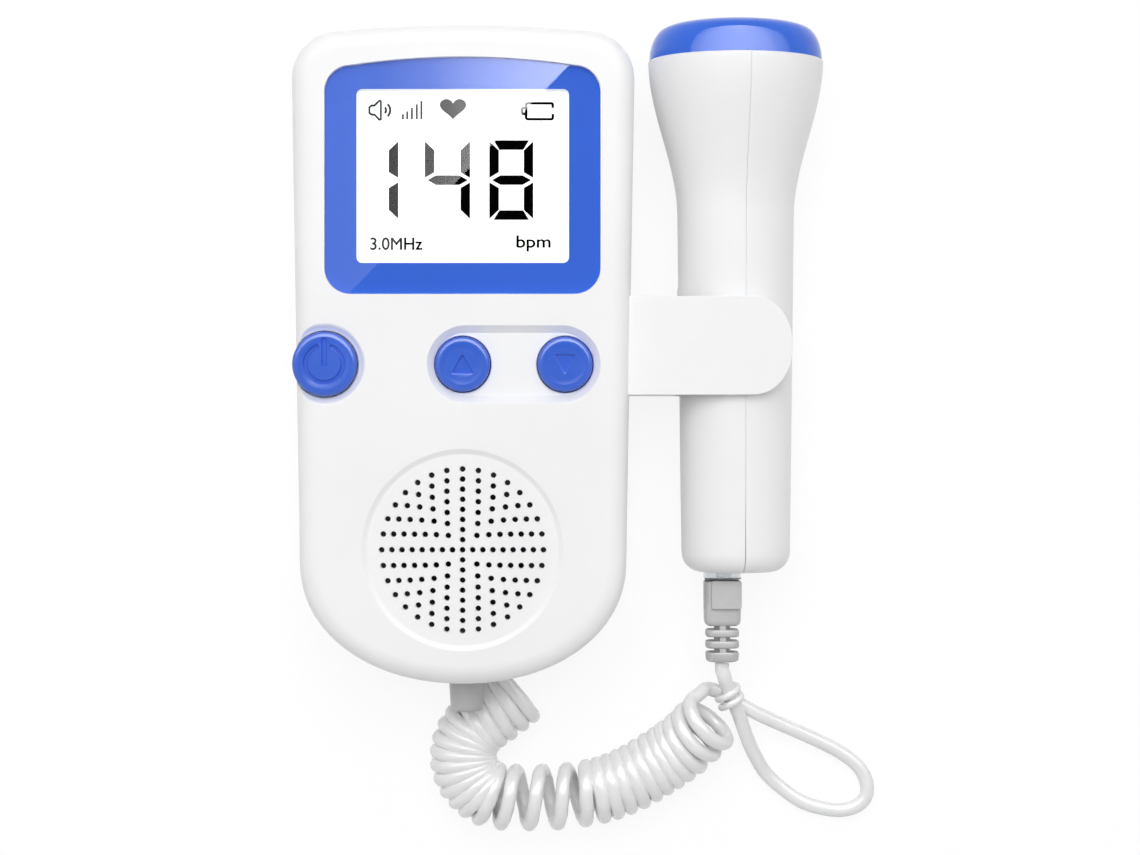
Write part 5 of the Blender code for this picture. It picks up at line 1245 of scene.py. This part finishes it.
def makeBoot():
    size = plugSizes
    x, top, soft = size["x"], size["top"], 0.00045
    end = top - size["block"]
    boot = alongPlug("plugBootBlock", squareAt(size["boot"], size["boot"], 0.0013), [
        (top, 0.0003), (top - 0.0003, 0.0), (top - 0.0060, 0.00005), (end + 0.0012, 0.0001), (end + 0.0004, 0.0003),
        (end, 0.0009),
    ])
    place = end
    # Two plain ribs and a longer one that tapers towards the cord.
    ribs = ((size["ribLength"], 0.0), (size["ribLength"], 0.0), (size["lastRib"], 0.0008))
    for index, (length, tip) in enumerate(ribs):
        place -= size["slot"]
        levels = [(place, 0.0003), (place - soft * 0.3, 0.0001), (place - soft, 0.0),
                  (place - length + soft, tip * 0.2), (place - length + soft * 0.3, 0.00012 + tip * 0.6),
                  (place - length, 0.0004 + tip)]
        weld(boot, alongPlug(f"bootRib{index}", squareAt(size["rib"], size["rib"], 0.0021), levels))
        place -= length
    inside = [(end + past, 0.0), (place + size["lastRib"] / 2, 0.0)]
    half, tall = size["web"] / 2, size["rib"] / 2 - soft
    weld(boot, alongPlug("bootCore", lambda inset: circlePoints((0, 0), size["core"], 40), inside),
         alongPlug("bootWeb", lambda inset: [(half, tall), (-half, tall), (-half, -tall), (half, -tall)], inside))
    panel = roundedRectangle((x + size["panelShift"], top - size["panelLength"] / 2), size["panelWidth"],
                             size["panelLength"], 0.0004)
    base = size["level"] + size["boot"] / 2
    face = base + size["panelHeight"]
    weld(boot, raiseOutline("bootPanel", [flatRing(panel, base - past), flatRing(panel, face - 0.0002),
                                          flatRing([(x + (side - x) * 0.97, y) for side, y in panel], face)]))
    dress(boot, greyPvcMoulded, "lead", ["plug_boot"], angle=50)


# Tie: two turns of soft band round both strands
tieSizes = {"radius": 0.00072, "halfWidth": 0.0024, "halfHeight": 0.0050, "run": 0.00385, "slope": 0.35,
            "start": math.radians(-85), "sweep": math.radians(710), "roundness": 0.8, "steps": 110,
            "centre": (0.0558, -0.0723, 0.0098), "along": (0.385, -0.923, 0.0)}


def makeTie():
    size = tieSizes
    along = Vector(size["along"]).normalized()
    across = Vector((-along.y, along.x, 0))
    points = []
    for place in range(size["steps"] + 1):
        share = place / size["steps"]
        angle = size["start"] + size["sweep"] * share
        forward = size["run"] * (share - 0.5)
        up, aside = (math.copysign(abs(turn) ** size["roundness"], turn) for turn in (math.sin(angle), math.cos(angle)))
        lift = Vector((0, 0, size["halfHeight"] * up - size["slope"] * forward))
        points.append(Vector(size["centre"]) + along * forward + across * size["halfWidth"] * aside + lift)
    tie = meshOf(drawnLine("cordTieBand", points, size["radius"], 4))
    dress(tie, whitePvcExtruded, "lead", ["cord_tie"], angle=60)


# Headphone socket in the left wall
socketSizes = {"wallGap": 0.0006, "length": 0.0115, "halfWidth": 0.0032, "halfHeight": 0.0028,
               "collar": [(0.0026, 0.0), (0.0029, 0.0003), (0.0029, 0.0034)],
               "bore": [(0.0021, -past), (0.0021, -hair), (0.0018, 0.0003), (0.0018, 0.0105)]}


def makeSocket():
    size = socketSizes
    side = -(caseSizes["topWidth"] - caseSizes["taper"]) / 2
    y, z = passageSizes["socket"]
    start = side + caseSizes["wall"] + size["wallGap"]
    body = blockOf("headphoneSocketBody", (start, y - size["halfWidth"], z - size["halfHeight"]),
                   (start + size["length"], y + size["halfWidth"], z + size["halfHeight"]))
    softenEdges(body, 0.0003, 2, 40)
    weld(body, turned("socketCollar", (side, y, z), size["collar"], 48, "X"))
    carve(body, turned("socketBore", (side, y, z), size["bore"], 40, "X"))
    dress(body, blackNylonMoulded, "unit", ["headphone_socket"], angle=40)


for stage, make in (("relief", makeRelief), ("holder", makeHolder), ("probe", makeProbe), ("plug", makePlug),
                    ("boot", makeBoot), ("tie", makeTie), ("socket", makeSocket)):
    make()
    print(f"{stage} done")


# Parts inside that keep their CAD shape get the finish of the real ones
for material, nodes in (
    (whiteAbsInner, ("lcd_frame", "battery_tray")),
    (greenSolderMask, ("main_board", "probe_board")),
    (blackNylonMoulded, ("power_switch", "up_switch", "down_switch", "speaker_frame", "modular_jack", "backing_block")),
    (greyPulpPressed, ("speaker_cone",)),
    (greyPvcShrunk, ("battery_left", "battery_right")),
    (nickelPlatedSteel, ("speaker_magnet", "contact_left_positive", "contact_left_negative", "contact_right_positive",
                         "contact_right_negative", "spring_left", "spring_right", "crystal_disc")),
):
    for node in nodes:
        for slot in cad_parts[node].material_slots:
            slot.material = material

# In the photograph the lead shows from end to end, and the curled cord shows except for its upper end.
print("cords declared")


# Floor, lamps and background
studio = {
    "floorSize": 4.0, "floorLevel": -0.0004, "floorWhite": 1.02, "whiteShare": 0.85, "dayStrength": 0.445,
    "keyLampSize": 0.8, "keyLampGlow": 4.2, "keyLampPlace": (-0.03, 0.36, 1.20),
    "topLampSize": 0.7, "topLampGlow": 1.0, "topLampPlace": (-0.10, 1.05, 0.85),
    "edgeStart": (0.0020, 0.2134), "edgeEnd": (-0.1357, 0.0706), "cardHeight": 1.200, "cardWide": 0.80,
    "cardDeep": 0.60, "cardSpan": (-0.150, 0.002), "flagWide": 0.70, "flagDeep": 0.34,
    "cardGlow": ((0.0, 0.55), (0.22, 0.75), (0.42, 1.6), (0.60, 3.3), (0.80, 5.1), (1.0, 6.3)),
    "stripWest": -1.0, "stripEast": 1.9, "stripSouth": 0.125, "stripNorth": 1.70, "stripHeight": 0.50,
    "stripGlow": ((0.0, 2.8), (0.11, 3.8), (0.224, 6.4), (0.345, 8.4), (0.38, 8.6), (0.43, 8.0), (0.50, 6.6),
                  (0.60, 3.9), (1.0, 1.0)),
}
fullWhite = (1.0, 1.0, 1.0, 1.0)


def emptyTree(block):
    block.use_nodes = True
    block.node_tree.nodes.clear()
    return block.node_tree


def whiteForSight(tree, share):
    # Sight of the background, straight, in gloss and through clear plastic, is white.
    path = addNode(tree, "ShaderNodeLightPath")
    first = addNode(tree, "ShaderNodeMath", {"operation": "MAXIMUM"},
                    {0: path.outputs["Is Camera Ray"], 1: path.outputs["Is Glossy Ray"]})
    both = addNode(tree, "ShaderNodeMath", {"operation": "MAXIMUM"},
                   {0: first.outputs[0], 1: path.outputs["Is Transmission Ray"]})
    return addNode(tree, "ShaderNodeMath", {"operation": "MULTIPLY", 1: share}, {0: both.outputs[0]}).outputs[0]


def makeFloor():
    deselectAll()
    bpy.ops.mesh.primitive_grid_add(x_subdivisions=8, y_subdivisions=8, size=studio["floorSize"],
                                    location=(0, 0, studio["floorLevel"]))
    floor = bpy.context.object
    floor.name = "studioFloor"
    # White uncoated paper, with a faint fibre.
    material = bpy.data.materials.new("whitePaperMatt")
    tree = emptyTree(material)
    place = addNode(tree, "ShaderNodeTexCoord").outputs["Object"]
    fibre = addNode(tree, "ShaderNodeTexNoise", {"Scale": 900.0, "Detail": 2.0}, {"Vector": place})
    tone = addNode(tree, "ShaderNodeValToRGB", None, {"Fac": fibre.outputs["Fac"]})
    tone.color_ramp.elements[0].color = hexColour("#f8f8f8")
    tone.color_ramp.elements[1].color = hexColour("#fbfbfb")
    paper = addNode(tree, "ShaderNodeBsdfDiffuse", None, {"Color": tone.outputs["Color"]})
    white = addNode(tree, "ShaderNodeEmission", {"Color": fullWhite, "Strength": studio["floorWhite"]})
    share = whiteForSight(tree, studio["whiteShare"])
    mix = addNode(tree, "ShaderNodeMixShader", None, {0: share, 1: paper.outputs["BSDF"], 2: white.outputs["Emission"]})
    addNode(tree, "ShaderNodeOutputMaterial", None, {"Surface": mix.outputs["Shader"]})
    floor.data.materials.append(material)
    floor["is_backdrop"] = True


def makeWorld():
    scene.world = bpy.data.worlds.new("studioWorld")
    tree = emptyTree(scene.world)
    day = addNode(tree, "ShaderNodeBackground", {"Color": fullWhite, "Strength": studio["dayStrength"]})
    white = addNode(tree, "ShaderNodeBackground", {"Color": fullWhite, "Strength": 1.0})
    mix = addNode(tree, "ShaderNodeMixShader", None, {0: whiteForSight(tree, 1.0), 1: day.outputs["Background"],
                                                      2: white.outputs["Background"]})
    addNode(tree, "ShaderNodeOutputWorld", None, {"Surface": mix.outputs["Shader"]})


def softLamp(name):
    # Soft light for the object's body. The glossy cards below draw the highlights.
    light = bpy.data.lights.new(name, "AREA")
    light.shape = "SQUARE"
    light.size = studio[f"{name}Size"]
    light.energy = studio[f"{name}Glow"] * math.pi * light.size ** 2
    lamp = bpy.data.objects.new(name, light)
    scene.collection.objects.link(lamp)
    lamp.location = studio[f"{name}Place"]
    lamp.rotation_euler = (-Vector(studio[f"{name}Place"])).to_track_quat("-Z", "Y").to_euler()
    lamp.visible_glossy = False


def studioCard(name, transform, glow=None, span=None):
    # A card that only gloss sees: black, or glowing by these strengths from one side to the other.
    deselectAll()
    bpy.ops.mesh.primitive_grid_add(x_subdivisions=4, y_subdivisions=4, size=1.0)
    card = bpy.context.object
    card.name = name
    card.data.transform(transform)
    material = bpy.data.materials.new(f"{name}Face")
    tree = emptyTree(material)
    face = addNode(tree, "ShaderNodeEmission", {"Color": fullWhite, "Strength": 0.0})
    if glow:
        place = addNode(tree, "ShaderNodeTexCoord").outputs["Object"]
        across = addNode(tree, "ShaderNodeSeparateXYZ", None, {"Vector": place}).outputs["X"]
        share = addNode(tree, "ShaderNodeMapRange", {"From Min": span[0], "From Max": span[1]}, {"Value": across})
        ramp = addNode(tree, "ShaderNodeValToRGB", None, {"Fac": share.outputs["Result"]})
        most = max(strength for position, strength in glow)
        while len(ramp.color_ramp.elements) < len(glow):
            ramp.color_ramp.elements.new(0.5)
        for element, (position, strength) in zip(ramp.color_ramp.elements, glow):
            element.position = position
            element.color = (strength / most, strength / most, strength / most, 1.0)
        tree.links.new(ramp.outputs["Color"], face.inputs["Color"])
        face.inputs["Strength"].default_value = most
    addNode(tree, "ShaderNodeOutputMaterial", None, {"Surface": face.outputs["Emission"]})
    card.data.materials.append(material)
    card.visible_camera = card.visible_diffuse = card.visible_shadow = False
    card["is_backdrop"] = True


def makeCards():
    # The near edge of the glowing card draws the slanting gloss across the display.
    # The black card keeps the rest of the display clear.
    start, end = Vector(studio["edgeStart"]), Vector(studio["edgeEnd"])
    along = (start - end).normalized()
    outward = Vector((-along.y, along.x))
    turn = Matrix.Rotation(math.atan2(along.y, along.x), 4, "Z")
    for name, wide, deep, side, glow in (("glossCard", studio["cardWide"], studio["cardDeep"], 1, studio["cardGlow"]),
                                         ("blackCard", studio["flagWide"], studio["flagDeep"], -1, None)):
        centre = (start + end) / 2 + outward * side * deep / 2
        place = Matrix.Translation((centre.x, centre.y, studio["cardHeight"])) @ turn
        studioCard(name, place @ Matrix.Diagonal((wide, deep, 1.0, 1.0)), glow, studio["cardSpan"])
    west, east, south, north = (studio[f"strip{side}"] for side in ("West", "East", "South", "North"))
    place = Matrix.Translation(((west + east) / 2, (south + north) / 2, studio["stripHeight"]))
    spread = Matrix.Diagonal((east - west, north - south, 1.0, 1.0))
    studioCard("stripCard", place @ spread, studio["stripGlow"], (west, east))


makeFloor()
makeWorld()
softLamp("keyLamp")
softLamp("topLamp")
makeCards()
print("studio done")

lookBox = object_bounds()
for name, box in (("cad", cadBox), ("visual", lookBox)):
    print(name, [round(value * 1000, 2) for corner in box for value in corner])
